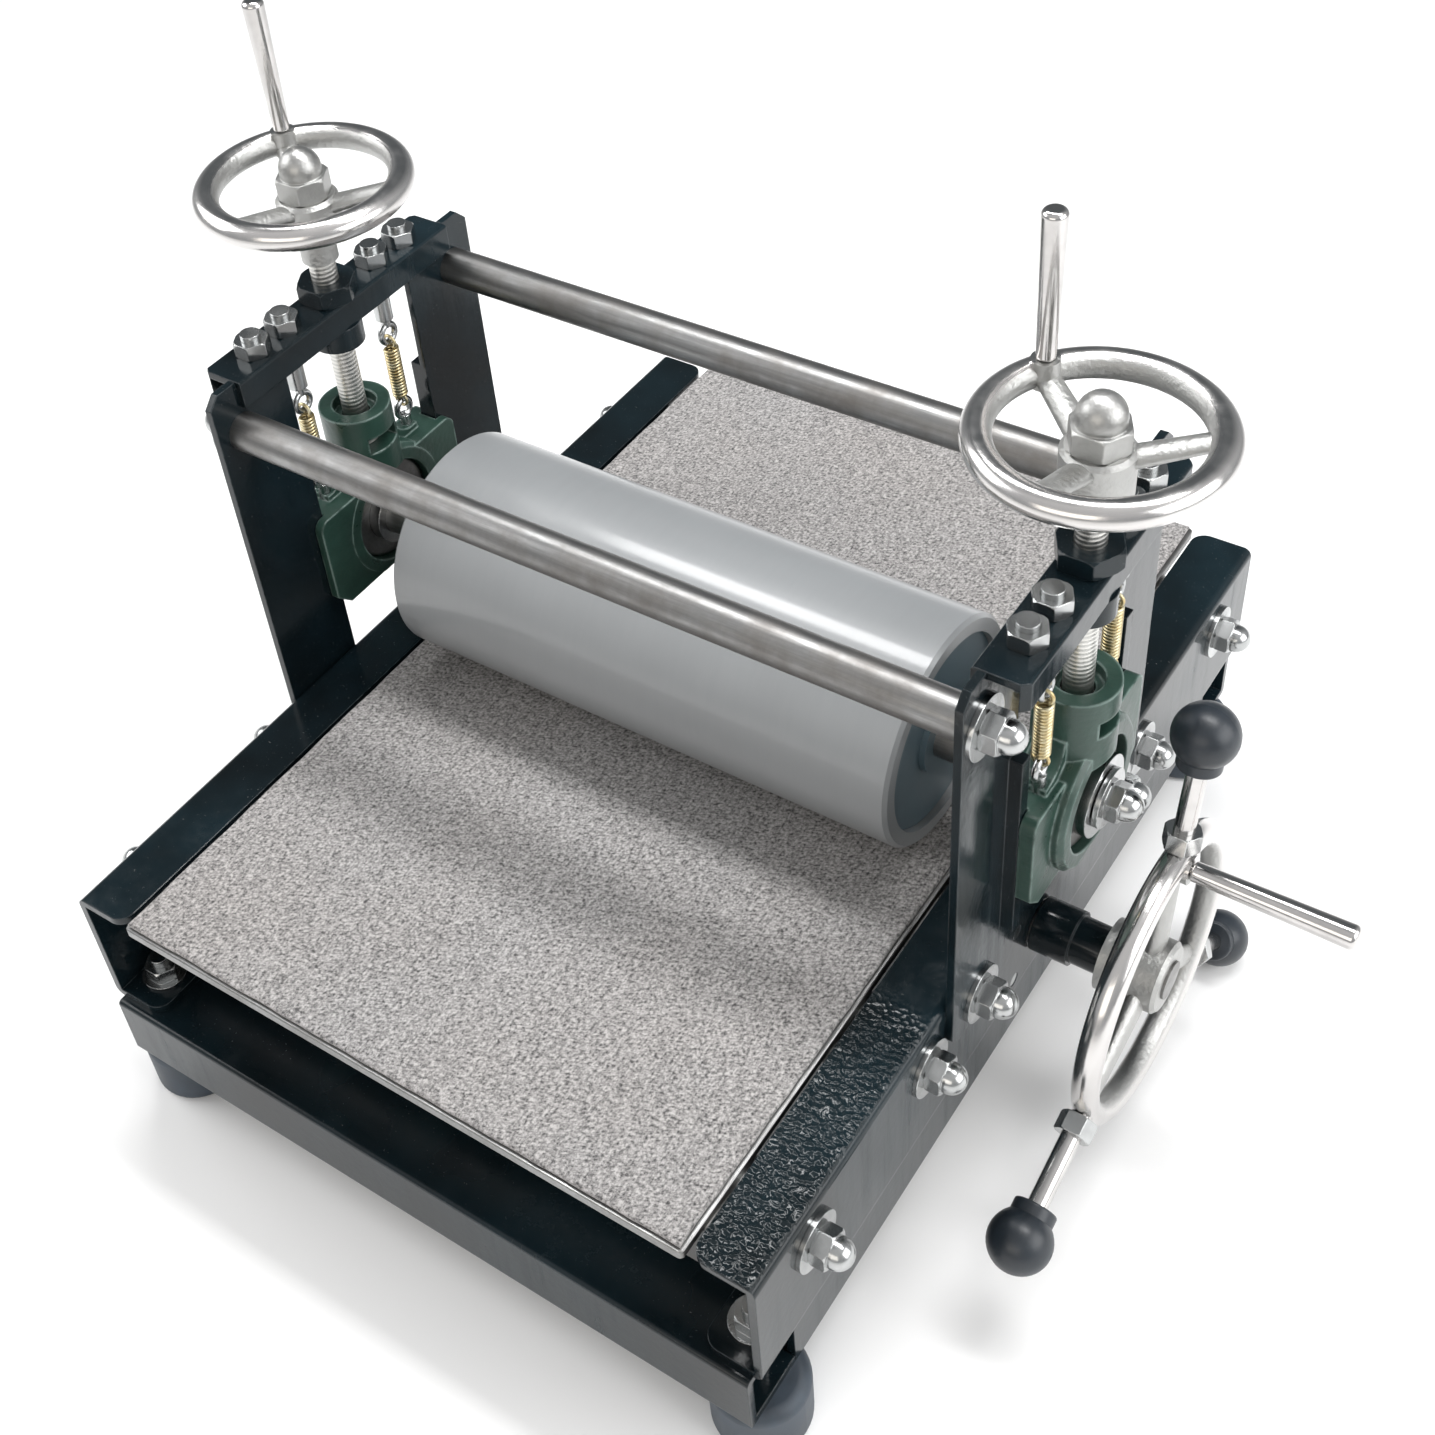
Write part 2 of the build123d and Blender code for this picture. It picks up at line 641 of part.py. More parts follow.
def housing(side):
    """A cast take-up housing: grooved flanks, round boss and a vertical head."""
    x0 = half_width - screw_x - slide
    x1 = post_x1 + guide_reach - screw_x + slide
    flank = extrude(Plane.YZ * housing_outline(), x1 - x0 + lip_inner + lip_outer)
    flank = Pos(x0 - lip_inner, 0, 0) * flank
    flank = fillet(edges_near(flank, Axis.X, lambda c: c.Z > shoulder - 1), 5.0)
    boss = rod("x", boss_r, -housing_t / 2, housing_t / 2, 0, 0)
    boss &= block(-99, 99, -99, 99, -housing_low, 99)
    boss = chamfer(boss.edges().filter_by(GeomType.CIRCLE), 2.0)
    head = rod("z", head_r, shoulder - 12.0, head_rise, 0, 0)
    body = flank + boss + head
    for end in ends:
        gusset = block(-4.0, 4.0, 0, end * 30.0, shoulder - 1.0, shoulder + gusset_rise)
        body += gusset - rod("x", gusset_r, -9.0, 9.0, end * eye_y, shoulder + gusset_rise)
    # the grooves that ride on the guides
    for end in ends:
        body -= block(x0, x1, end * groove_half, end * 60.0, -60.0, 90.0)
    # screw bore, collar pocket open to both faces, and bearing seat
    floor = shoulder + pocket_rise
    body -= rod("z", (screw_d + run) / 2 + 0.6, floor - 8.0, 99.0, 0, 0)
    body -= rod("z", head_bore_r, head_rise - head_bore_deep, 99.0, 0, 0)
    half = (collar_d + 1.0) / 2
    body -= block(-99, 99, -half, half, floor, floor + collar_h + 2 * slide)
    body -= rod("x", (insert_d + fit) / 2, -99, 99, 0, 0)
    for end in ends:
        body -= rod("z", (eye_screw_d + fit) / 2, shoulder - 9.0, 99.0, 0, end * eye_y)
    body = body if side > 0 else mirror(body, Plane.YZ)
    return Pos(side * screw_x, 0, roller_z) * body


def lower_roller():
    """The driven roller under the bed."""
    body = rod("x", lower_r, -lower_half, lower_half, 0, lower_z)
    body = chamfer(body.edges().filter_by(GeomType.CIRCLE), 1.5)
    return body - rod("x", (lower_shaft_d + fit) / 2, -999, 999, 0, lower_z)


def lower_shaft():
    """The driven shaft, out through the right rail to the drive wheel."""
    left_end = -(half_width - 1.0)
    return rod("x", lower_shaft_d / 2, left_end, drive_hub_x1 + 1.0, 0, lower_z)


def drive_spacer():
    """The sleeve between the right rail and the drive wheel."""
    sleeve = rod("x", 10.0, half_width + 1.0, drive_hub_x0 - 0.2, 0, lower_z)
    sleeve += rod("x", 11.5, half_width + 1.0, half_width + 17.0, 0, lower_z)
    return sleeve - rod("x", (lower_shaft_d + fit) / 2, 0, 999, 0, lower_z)


def idler(y):
    """A free roller that carries the bed."""
    body = rod("x", idler_r, -idler_half, idler_half, y, idler_z)
    body = chamfer(body.edges().filter_by(GeomType.CIRCLE), 1.0)
    return body - rod("x", (axle_d + run) / 2, -999, 999, y, idler_z)


# ---- wheels, screws and handles ----------------------------------------------------
def spoked_wheel(ring, tube, hub, low, high, rise, angle, width):
    """A three-spoke handwheel about Z, its ring at z = 0 and its hub from low to high."""
    wheel = Torus(ring, tube)
    barrel = rod("z", hub, low, high, 0, 0)
    wheel += chamfer(barrel.edges().group_by(Axis.Z)[-1], 1.5)
    inside = Vector(hub * 0.6, 0, rise)
    outside = Vector(ring - tube * 0.3, 0, 0)
    along = Plane(origin=inside, x_dir=(0, 1, 0), z_dir=outside - inside)
    spoke = extrude(along * Ellipse(width * 0.6, width / 2.6), (outside - inside).length, taper=2.0)
    for turn in range(3):
        wheel += Rot(0, 0, angle + turn * 120.0) * spoke
    return wheel


def handwheel(side):
    """A top handwheel with the seat and pin of its handle."""
    wheel = spoked_wheel(wheel_ring, wheel_tube, hub_r, -hub_high - 18.0, -hub_high, -hub_high - 5.0,
                         handle_angle, 9.0)
    wheel += rod("z", 7.5, -hub_low, -hub_high - 17.0, 0, 0)
    px = handle_ring * cos(radians(handle_angle))
    py = handle_ring * sin(radians(handle_angle))
    seat = wheel_tube + seat_rise
    wheel += rod("z", handle_seat_r, -4.0, seat, px, py)
    wheel += rod("z", handle_pin_d / 2, 0, seat + 20.0, px, py)
    wheel -= rod("z", (screw_d + fit) / 2, -99, 99, 0, 0)
    return Pos(side * screw_x, 0, wheel_z) * wheel


def pressure_screw(side):
    """The screw, with the collar that lifts and presses the housing."""
    top = wheel_z - hub_high + cap_hex - 1.0
    body = rod("z", screw_d / 2, collar_z, top, 0, 0)
    body += rod("z", collar_d / 2, collar_z, collar_z + collar_h, 0, 0)
    return Pos(side * screw_x, 0, 0) * body


def wheel_cap(side):
    """The domed nut on the hub of a top handwheel."""
    nut = acorn_nut(cap_af, cap_hex, cap_neck, screw_d + fit)
    return Pos(side * screw_x, 0, wheel_z - hub_high) * nut


def turned_handle(length, r0, r1):
    """A tapered handle from z = 0, bored for its pin."""
    body = Pos(0, 0, length / 2) * Cone(r0, r1, length)
    body = fillet(body.edges().group_by(Axis.Z)[-1], r1 * 0.5)
    body = fillet(body.edges().group_by(Axis.Z)[0], r0 * 0.2)
    return body - Pos(0, 0, 10.25) * Cylinder((handle_pin_d + run) / 2, 20.5)


def wheel_handle(side):
    """The revolving handle of a top handwheel."""
    px = side * screw_x + handle_ring * cos(radians(handle_angle))
    py = handle_ring * sin(radians(handle_angle))
    handle = turned_handle(handle_length, handle_r0, handle_r1)
    return Pos(px, py, wheel_z + wheel_tube + seat_rise + slide) * handle


def on_drive(part):
    """Carry a piece drawn about Z to the drive wheel's place, +Z to +X."""
    return Pos(drive_x, 0, lower_z) * Rot(0, 90, 0) * Rot(0, 0, 90 + drive_angle) * part


def drive_wheel():
    """The drive wheel with the seat and pin of its handle."""
    low = drive_hub_x0 - drive_x
    high = drive_hub_x1 - drive_x
    wheel = spoked_wheel(drive_ring, drive_tube, drive_hub_r, low, high, -1.0, 0.0, 11.0)
    seat = drive_tube + seat_rise
    wheel += rod("z", 6.0, -4.0, seat, drive_handle_ring, 0)
    wheel += rod("z", handle_pin_d / 2, 0, seat + 20.0, drive_handle_ring, 0)
    wheel -= rod("z", (lower_shaft_d + fit) / 2, -99, 99, 0, 0)
    for turn in range(3):
        socket = rod("x", (rod_d + fit) / 2, rod_start, 999.0, 0, 0)
        wheel -= Rot(0, 0, turn * 120.0) * socket
    return on_drive(wheel)


def drive_rods():
    """Three bars screwed into the drive wheel's rim."""
    made = []
    for turn in range(3):
        bar = rod("x", rod_d / 2, rod_start, rod_end, 0, 0)
        made.append(on_drive(Rot(0, 0, turn * 120.0) * bar))
    return made


def rod_nuts():
    """The lock nuts where the bars enter the rim."""
    made = []
    start = drive_ring + drive_tube
    for turn in range(3):
        nut = Pos(start, 0, 0) * Rot(0, 90, 0) * hex_nut(rod_nut_af, rod_nut_h, rod_d + fit)
        made.append(on_drive(Rot(0, 0, turn * 120.0) * nut))
    return made


def ball_knobs():
    """The rubber balls on the bars, each with a short collar."""
    made = []
    for turn in range(3):
        ball = Pos(knob_ring, 0, 0) * Sphere(knob_r)
        collar = rod("x", knob_collar_r, knob_ring - knob_r - 1.5, knob_ring - 4.0, 0, 0)
        knob = ball + fillet(collar.edges().group_by(Axis.X)[0], 1.0)
        bore = rod("x", (rod_d + fit) / 2, 0, rod_end + slide, 0, 0)
        made.append(on_drive(Rot(0, 0, turn * 120.0) * (knob - bore)))
    return made


def drive_handle():
    """The revolving handle of the drive wheel."""
    handle = turned_handle(drive_handle_length, 4.0, 5.0)
    return on_drive(Pos(drive_handle_ring, 0, drive_tube + seat_rise + slide) * handle)


# ---- every piece, by node name --------------------------------------------------------
pairs = [(side, end) for side in sides for end in ends]
side_names = {-1: "left", 1: "right"}
end_names = {-1: "front", 1: "rear"}
idler_names = ("front_outer_idler", "front_inner_idler", "rear_inner_idler", "rear_outer_idler")

nodes = {}
for side in sides:
    name = side_names[side]
    nodes[f"{name}_rail"] = rail(side)
    nodes[f"{name}_crossbar"] = crossbar(side)
    nodes[f"{name}_bearing_housing"] = housing(side)
    nodes[f"{name}_screw"] = pressure_screw(side)
    nodes[f"{name}_handwheel"] = handwheel(side)
    nodes[f"{name}_wheel_cap_nut"] = wheel_cap(side)
    nodes[f"{name}_wheel_handle"] = wheel_handle(side)
    for end in ends:
        nodes[f"{name}_{end_names[end]}_post"] = post(side, end)
for end in ends:
    nodes[f"{end_names[end]}_cross_member"] = cross_member(end)
    nodes[f"{end_names[end]}_tie_tube"] = tie_tube(end)
for name, y in zip(idler_names, idler_ys):
    nodes[name] = idler(y)

nodes["side_sills"] = group([sill(side) for side in sides])
nodes["rubber_feet"] = group([foot(*pair) for pair in pairs])
nodes["foot_bolts"] = group([foot_bolt(*pair) for pair in pairs])
nodes["foot_nuts"] = group([foot_nut(*pair) for pair in pairs])
nodes["screw_nuts"] = group([screw_nut(side) for side in sides])
nodes["crossbar_studs"] = group([bar_stud(*pair) for pair in pairs])
nodes["crossbar_nuts"] = group([bar_nut(*pair) for pair in pairs])
nodes["upper_eye_bolts"] = group([upper_eye(*pair) for pair in pairs])
nodes["eye_bolt_nuts"] = group([eye_nut(*pair) for pair in pairs])
nodes["lower_eye_screws"] = group([lower_eye(*pair) for pair in pairs])
nodes["return_springs"] = group([spring(*pair) for pair in pairs])
nodes["tie_rods"] = group([tie_rod(end) for end in ends])
nodes["post_bolts"] = group([post_bolt(*pair) for pair in pairs])
nodes["idler_axles"] = group([idler_axle(y) for y in idler_ys])
nodes["bolt_washers"] = group(washers())
nodes["acorn_nuts"] = group(acorn_nuts())
nodes["lower_bearings"] = group([lower_bearing(side) for side in sides])
nodes["lower_bearing_bolts"] = group(
    [lower_bearing_bolt(side, y, z) for side in sides for y, z in bearing_bolts()])
nodes["bed_plate"] = bed_plate()
nodes["felt_blanket"] = felt()
nodes["top_roller"] = top_roller()
nodes["roller_end_discs"] = group([end_disc(side) for side in sides])
nodes["roller_shaft"] = roller_shaft()
nodes["shaft_end_nuts"] = group([shaft_end(side) for side in sides])
nodes["bearing_inner_rings"] = group([inner_ring(side) for side in sides])
nodes["bearing_outer_rings"] = group([outer_ring(side) for side in sides])
nodes["lower_roller"] = lower_roller()
nodes["drive_shaft"] = lower_shaft()
nodes["drive_spacer"] = drive_spacer()
nodes["drive_wheel"] = drive_wheel()
nodes["drive_rods"] = group(drive_rods())
nodes["rod_nuts"] = group(rod_nuts())
nodes["ball_knobs"] = group(ball_knobs())
nodes["drive_handle"] = drive_handle()

os.makedirs("parts", exist_ok=True)
for name, shape in nodes.items():
    placed = group([Pos(-origin_x, 0, 0) * solid for solid in shape.solids()])
    export_step(placed, f"parts/{name}.step")
print(len(nodes), "nodes")
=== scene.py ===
"""Etching press: enamel, castings, bright metal, felt blanket, springs and studio stage."""
import json
import math

import bpy
import numpy as np
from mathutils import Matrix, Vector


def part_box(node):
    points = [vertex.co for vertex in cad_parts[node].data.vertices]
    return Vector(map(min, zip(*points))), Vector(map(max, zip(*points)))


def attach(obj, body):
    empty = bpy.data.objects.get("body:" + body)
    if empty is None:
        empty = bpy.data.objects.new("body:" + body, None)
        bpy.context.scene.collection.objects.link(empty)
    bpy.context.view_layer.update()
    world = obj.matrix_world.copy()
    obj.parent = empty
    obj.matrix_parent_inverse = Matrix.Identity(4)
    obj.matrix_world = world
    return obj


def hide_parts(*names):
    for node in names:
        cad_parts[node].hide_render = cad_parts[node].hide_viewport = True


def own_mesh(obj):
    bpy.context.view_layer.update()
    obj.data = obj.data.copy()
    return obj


bl_info = {
    "name": "Etching Press",
    "version": (1, 0, 0),
    "blender": (4, 5, 0),
    "location": "3D View > Sidebar > Press",
    "description": "Finishes, felt blanket, return springs and stage of a tabletop etching press",
    "category": "Object",
}

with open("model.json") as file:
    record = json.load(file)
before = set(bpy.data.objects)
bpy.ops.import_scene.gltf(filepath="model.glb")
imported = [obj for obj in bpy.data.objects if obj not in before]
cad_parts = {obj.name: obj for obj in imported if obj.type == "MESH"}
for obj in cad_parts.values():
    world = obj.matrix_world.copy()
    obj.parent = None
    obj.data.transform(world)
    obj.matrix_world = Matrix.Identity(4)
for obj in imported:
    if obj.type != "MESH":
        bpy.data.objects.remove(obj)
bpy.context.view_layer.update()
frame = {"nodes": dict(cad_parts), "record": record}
slots = {part["node"]: part["material_slot"] for part in frame["record"]["subparts"]}


def centre(node):
    """Middle of a CAD node's box, in metres."""
    low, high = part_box(node)
    return (low + high) / 2


# ---- sizes and colours a user would change -----------------------------------


def tint(name, text, value):
    """A colour property with its description and default."""
    return bpy.props.FloatVectorProperty(
        name=name, description=text, subtype="COLOR", size=3, min=0, max=1, default=value
    )


def length(name, text, value):
    """A length property in metres."""
    return bpy.props.FloatProperty(
        name=name, description=text, unit="LENGTH", min=0, precision=5, default=value
    )


class PressColours(bpy.types.PropertyGroup):
    """Colours of the finishes."""

    enamel_deep: tint("Enamel", "Black enamel in its deep areas", (0.0035, 0.0055, 0.0065))
    enamel_sheen: tint("Enamel Sheen", "Blue-green cast of the enamel", (0.007, 0.016, 0.021))
    casting: tint("Casting Green", "Paint on the bearing housings", (0.024, 0.062, 0.047))
    casting_worn: tint("Worn Casting", "Paint where edges are rubbed", (0.24, 0.33, 0.30))
    zinc: tint("Zinc", "Bright zinc plate", (0.50, 0.51, 0.51))
    chrome: tint("Chrome", "Polished chrome", (0.62, 0.605, 0.595))
    cast_silver: tint("Cast Silver", "Plated casting that was not polished", (0.42, 0.42, 0.41))
    steel: tint("Steel", "Bare drawn steel", (0.31, 0.312, 0.31))
    steel_stain: tint("Steel Stain", "Brown stain on bare steel", (0.165, 0.152, 0.140))
    roller: tint("Roller", "Satin grey of the upper roller", (0.245, 0.255, 0.262))
    disc: tint("End Disc", "Blue-grey of the roller's end discs", (0.085, 0.130, 0.155))
    felt_light: tint("Light Fibres", "Light fibres of the felt", (0.41, 0.40, 0.395))
    felt_dark: tint("Dark Fibres", "Dark fibres of the felt", (0.030, 0.029, 0.030))
    rubber: tint("Rubber", "Feet and knobs", (0.022, 0.030, 0.040))
    spring: tint("Spring Wire", "Yellow passivated wire", (0.50, 0.38, 0.17))


class PressSizes(bpy.types.PropertyGroup):
    """Sizes of the new pieces."""

    felt_thickness: length("Felt Thickness", "Thickness of the blanket", 0.0025)
    felt_step: length("Felt Grid", "Spacing of the blanket's grid", 0.0022)
    wire: length("Spring Wire", "Diameter of the spring wire", 0.0015)
    coil: length("Coil Diameter", "Outer diameter of a spring", 0.0076)
    thread_pitch: length("Thread Pitch", "Pitch of the pressure screws", 0.002)
    handwheel_ring: length("Handwheel Ring", "Radius of a top handwheel's ring", 0.0385)
    drive_ring: length("Drive Ring", "Radius of the drive wheel's ring", 0.0585)
    hammer_start: length("Hammer Start", "How far ahead of the middle the hammering starts", 0.082)
    hammer_full: length("Hammer Full", "How far ahead of the middle it is at its deepest", 0.104)
    hammer_size: length("Hammer Finish", "Size of a dimple in the hammered enamel", 0.0023)


class PressStage(bpy.types.PropertyGroup):
    """Camera, floor and lights."""

    eye: bpy.props.FloatVectorProperty(
        name="Camera Place",
        description="Where the camera stands",
        subtype="TRANSLATION",
        unit="LENGTH",
        default=(0.31896, -0.46007, 0.71916),
    )
    tilt: bpy.props.FloatVectorProperty(
        name="Camera Angles",
        description="Camera rotation about X, Y and Z",
        subtype="EULER",
        unit="ROTATION",
        default=(math.radians(47.466), math.radians(4.7656), math.radians(34.3916)),
    )
    lens: bpy.props.FloatProperty(
        name="Lens", description="Focal length in millimetres", default=49.047, min=1
    )
    shift: bpy.props.FloatVectorProperty(
        name="Shift", description="Lens shift", size=2, default=(0.04546, -0.0800)
    )
    floor_tint: tint("Floor", "Pale studio floor", (0.92, 0.92, 0.92))


# ---- node helpers --------------------------------------------------------------


def add(tree, kind, inputs=None, **settings):
    """Add a node, set it, and feed its inputs from values or from other sockets."""
    node = tree.nodes.new(kind)
    for name, value in settings.items():
        setattr(node, name, value)
    for name, value in (inputs or {}).items():
        if isinstance(value, bpy.types.NodeSocket):
            tree.links.new(value, node.inputs[name])
        else:
            node.inputs[name].default_value = value
    return node


def combine(tree, operation, first, second, clamp=False):
    """One Math node; either side is a number or a socket."""
    node = tree.nodes.new("ShaderNodeMath")
    node.operation = operation
    node.use_clamp = clamp
    for socket, value in zip(node.inputs, (first, second)):
        if isinstance(value, bpy.types.NodeSocket):
            tree.links.new(value, socket)
        else:
            socket.default_value = value
    return node.outputs[0]


def blend_colour(tree, factor, low, high, mode="MIX"):
    """One colour Mix node; the factor and both colours are values or sockets."""
    node = tree.nodes.new("ShaderNodeMix")
    node.data_type = "RGBA"
    node.blend_type = mode
    pairs = ((node.inputs[0], factor), (node.inputs[6], low), (node.inputs[7], high))
    for socket, value in pairs:
        if isinstance(value, bpy.types.NodeSocket):
            tree.links.new(value, socket)
        elif hasattr(value, "__len__"):
            socket.default_value = (*tuple(value)[:3], 1)
        else:
            socket.default_value = value
    return node.outputs[2]


def ramp(tree, value, low, high, out_low=0.0, out_high=1.0):
    """A clamped Map Range from one span to another."""
    node = add(tree, "ShaderNodeMapRange", {"Value": value, "From Min": low, "From Max": high,
                                            "To Min": out_low, "To Max": out_high})
    return node.outputs[0]


def new_group(name, inputs, outputs):
    """A shader node group with named sockets: (name, kind, default) in, (name, kind) out."""
    tree = bpy.data.node_groups.new(name, "ShaderNodeTree")
    for label, kind, value in inputs:
        socket = tree.interface.new_socket(label, in_out="INPUT", socket_type="NodeSocket" + kind)
        if value is not None:
            socket.default_value = value
    for label, kind in outputs:
        tree.interface.new_socket(label, in_out="OUTPUT", socket_type="NodeSocket" + kind)
    return tree, tree.nodes.new("NodeGroupInput").outputs, tree.nodes.new("NodeGroupOutput").inputs


def use(tree, name, inputs=None):
    """Place one of the shared groups in a material and return its outputs."""
    node = add(tree, "ShaderNodeGroup", node_tree=bpy.data.node_groups[name])
    for label, value in (inputs or {}).items():
        if isinstance(value, bpy.types.NodeSocket):
            tree.links.new(value, node.inputs[label])
        else:
            node.inputs[label].default_value = value
    return node.outputs


def shared_groups():
    """Build each shared effect once."""
    tree, ins, outs = new_group(
        "Grain",
        [("Vector", "Vector", None), ("Scale", "Float", 200.0), ("Detail", "Float", 3.0),
         ("Low", "Float", 0.35), ("High", "Float", 0.65)],
        [("Value", "Float")],
    )
    noise = add(tree, "ShaderNodeTexNoise", {"Vector": ins["Vector"], "Scale": ins["Scale"],
                                             "Detail": ins["Detail"], "Roughness": 0.6})
    span = add(tree, "ShaderNodeMapRange", {"Value": noise.outputs[0], "From Min": ins["Low"],
                                            "From Max": ins["High"]})
    tree.links.new(span.outputs[0], outs["Value"])

    tree, ins, outs = new_group(
        "Edge Wear",
        [("Vector", "Vector", None), ("Radius", "Float", 0.0006), ("Scale", "Float", 250.0),
         ("Amount", "Float", 4.0)],
        [("Mask", "Float"), ("Normal", "Vector")],
    )
    bevel = add(tree, "ShaderNodeBevel", {"Radius": ins["Radius"]}, samples=4)
    face = add(tree, "ShaderNodeNewGeometry")
    facing = add(tree, "ShaderNodeVectorMath", {0: bevel.outputs[0], 1: face.outputs["Normal"]},
                 operation="DOT_PRODUCT")
    turned = combine(tree, "SUBTRACT", 1.0, facing.outputs["Value"])
    patchy = add(tree, "ShaderNodeTexNoise", {"Vector": ins["Vector"], "Scale": ins["Scale"],
                                              "Detail": 4.0})
    patch = ramp(tree, patchy.outputs[0], 0.35, 0.62)
    worn = combine(tree, "MULTIPLY", combine(tree, "MULTIPLY", turned, ins["Amount"]), patch)
    tree.links.new(combine(tree, "MINIMUM", worn, 1.0), outs["Mask"])
    tree.links.new(bevel.outputs[0], outs["Normal"])

    tree, ins, outs = new_group(
        "Cast Skin",
        [("Vector", "Vector", None), ("Scale", "Float", 700.0)],
        [("Height", "Float")],
    )
    pits = add(tree, "ShaderNodeTexVoronoi", {"Vector": ins["Vector"], "Scale": ins["Scale"]},
               feature="SMOOTH_F1")
    lumps = add(tree, "ShaderNodeTexNoise", {"Vector": ins["Vector"], "Scale": ins["Scale"],
                                             "Detail": 5.0, "Roughness": 0.65})
    height = combine(tree, "ADD", combine(tree, "MULTIPLY", pits.outputs[0], 0.6), lumps.outputs[0])
    tree.links.new(height, outs["Height"])

    tree, ins, outs = new_group(
        "Drawn Lines",
        [("Vector", "Vector", None), ("Stretch", "Vector", (1.0, 1.0, 1.0)),
         ("Scale", "Float", 900.0)],
        [("Value", "Float")],
    )
    stretched = add(tree, "ShaderNodeVectorMath", {0: ins["Vector"], 1: ins["Stretch"]},
                    operation="MULTIPLY")
    lines = add(tree, "ShaderNodeTexNoise", {"Vector": stretched.outputs[0], "Scale": ins["Scale"],
                                             "Detail": 4.0, "Roughness": 0.7})
    tree.links.new(lines.outputs[0], outs["Value"])

    tree, ins, outs = new_group(
        "Hammer Dimples",
        [("Vector", "Vector", None), ("Scale", "Float", 300.0), ("Mask", "Float", 1.0)],
        [("Height", "Float")],
    )
    wander = add(tree, "ShaderNodeTexNoise", {"Vector": ins["Vector"], "Scale": 160.0})
    pushed = add(tree, "ShaderNodeVectorMath", {0: wander.outputs["Color"], 1: (0.004,) * 3},
                 operation="MULTIPLY")
    moved = add(tree, "ShaderNodeVectorMath", {0: ins["Vector"], 1: pushed.outputs[0]})
    cells = add(tree, "ShaderNodeTexVoronoi", {"Vector": moved.outputs[0], "Scale": ins["Scale"],
                                               "Smoothness": 0.35}, feature="SMOOTH_F1")
    dimple = combine(tree, "POWER", cells.outputs[0], 1.4)
    tree.links.new(combine(tree, "MULTIPLY", dimple, ins["Mask"]), outs["Height"])


def new_material(name):
    """An empty material with its surface shader and Object coordinates."""
    material = bpy.data.materials.new(name)
    material.use_nodes = True
    tree = material.node_tree
    tree.nodes.clear()
    shader = tree.nodes.new("ShaderNodeBsdfPrincipled")
    out = tree.nodes.new("ShaderNodeOutputMaterial")
    tree.links.new(shader.outputs[0], out.inputs[0])
    place = tree.nodes.new("ShaderNodeTexCoord").outputs["Object"]
    return material, tree, shader, place


def feed(tree, shader, **values):
    """Set shader inputs by name with underscores for spaces."""
    for label, value in values.items():
        socket = shader.inputs[label.replace("_", " ")]
        if isinstance(value, bpy.types.NodeSocket):
            tree.links.new(value, socket)
        elif hasattr(value, "__len__") and socket.type == "RGBA":
            socket.default_value = (*tuple(value)[:3], 1)
        else:
            socket.default_value = value


def bump(tree, height, strength, distance, normal=None):
    """One Bump node; distance is the depth in metres."""
    inputs = {"Height": height, "Strength": strength, "Distance": distance}
    if normal is not None:
        inputs["Normal"] = normal
    return add(tree, "ShaderNodeBump", inputs).outputs[0]


def paint(nodes, material):
    """Give CAD nodes a material in their own slots."""
    for node in nodes:
        slot_list = frame["nodes"][node].data.materials
        slot_list.clear()
        slot_list.append(material)


def in_slot(name):
    """The CAD nodes that take one of the record's material slots."""
    return [node for node, slot_name in slots.items() if slot_name == name]


# ---- mesh helpers ---------------------------------------------------------------


def grid_piece(name, grids, wrap=False):
    """A mesh from parametric grids: each is rows x columns x 3, quads between neighbours.

    With wrap the last column joins the first. Points that fall together, as at a pole or
    a rim, are merged so that the surface is closed.
    """
    points, faces, start = [], [], 0
    for grid in grids:
        rows, cols = grid.shape[:2]
        index = np.arange(rows * cols).reshape(rows, cols) + start
        if wrap:
            index = np.concatenate([index, index[:, :1]], axis=1)
        quads = np.stack([index[:-1, :-1], index[:-1, 1:], index[1:, 1:], index[1:, :-1]], -1)
        points.append(grid.reshape(-1, 3))
        faces.append(quads.reshape(-1, 4))
        start += rows * cols
    points = np.concatenate(points)
    faces = np.concatenate(faces)
    keys = np.round(points * 1e7).astype(np.int64)
    _, first, same = np.unique(keys, axis=0, return_index=True, return_inverse=True)
    faces = same.reshape(-1)[faces]
    points = points[first]
    mesh = bpy.data.meshes.new(name)
    step = np.roll(faces, -1, axis=1) != faces
    full = step.all(axis=1)
    tris = faces[~full & (step.sum(axis=1) == 3)]
    keep = step[~full & (step.sum(axis=1) == 3)]
    tris = tris[keep].reshape(-1, 3)
    mesh.from_pydata(points.tolist(), [], faces[full].tolist() + tris.tolist())
    mesh.polygons.foreach_set("use_smooth", np.ones(len(mesh.polygons), bool))
    mesh.update()
    piece = bpy.data.objects.new(name, mesh)
    bpy.context.scene.collection.objects.link(piece)
    return piece


def round_wire(path, radial, radius, sides=10):
    """A round wire along a path: p(s, a) = path + r(s) (cos a N + sin a B).

    T is the path's direction, N the radial vector made square to T, and B = T x N. The
    radius falls to nothing at both ends, which closes them.
    """
    along = np.gradient(path, axis=0)
    along /= np.linalg.norm(along, axis=1, keepdims=True)
    out = radial - (radial * along).sum(axis=1, keepdims=True) * along
    out /= np.linalg.norm(out, axis=1, keepdims=True)
    side = np.cross(along, out)
    angle = np.linspace(0, 2 * math.pi, sides, endpoint=False)
    size = np.full(len(path), radius)
    size[[0, -1]] = 0.0
    ring = np.cos(angle)[None, :, None] * out[:, None] + np.sin(angle)[None, :, None] * side[:, None]
    return path[:, None] + size[:, None, None] * ring


# ---- operators --------------------------------------------------------------------


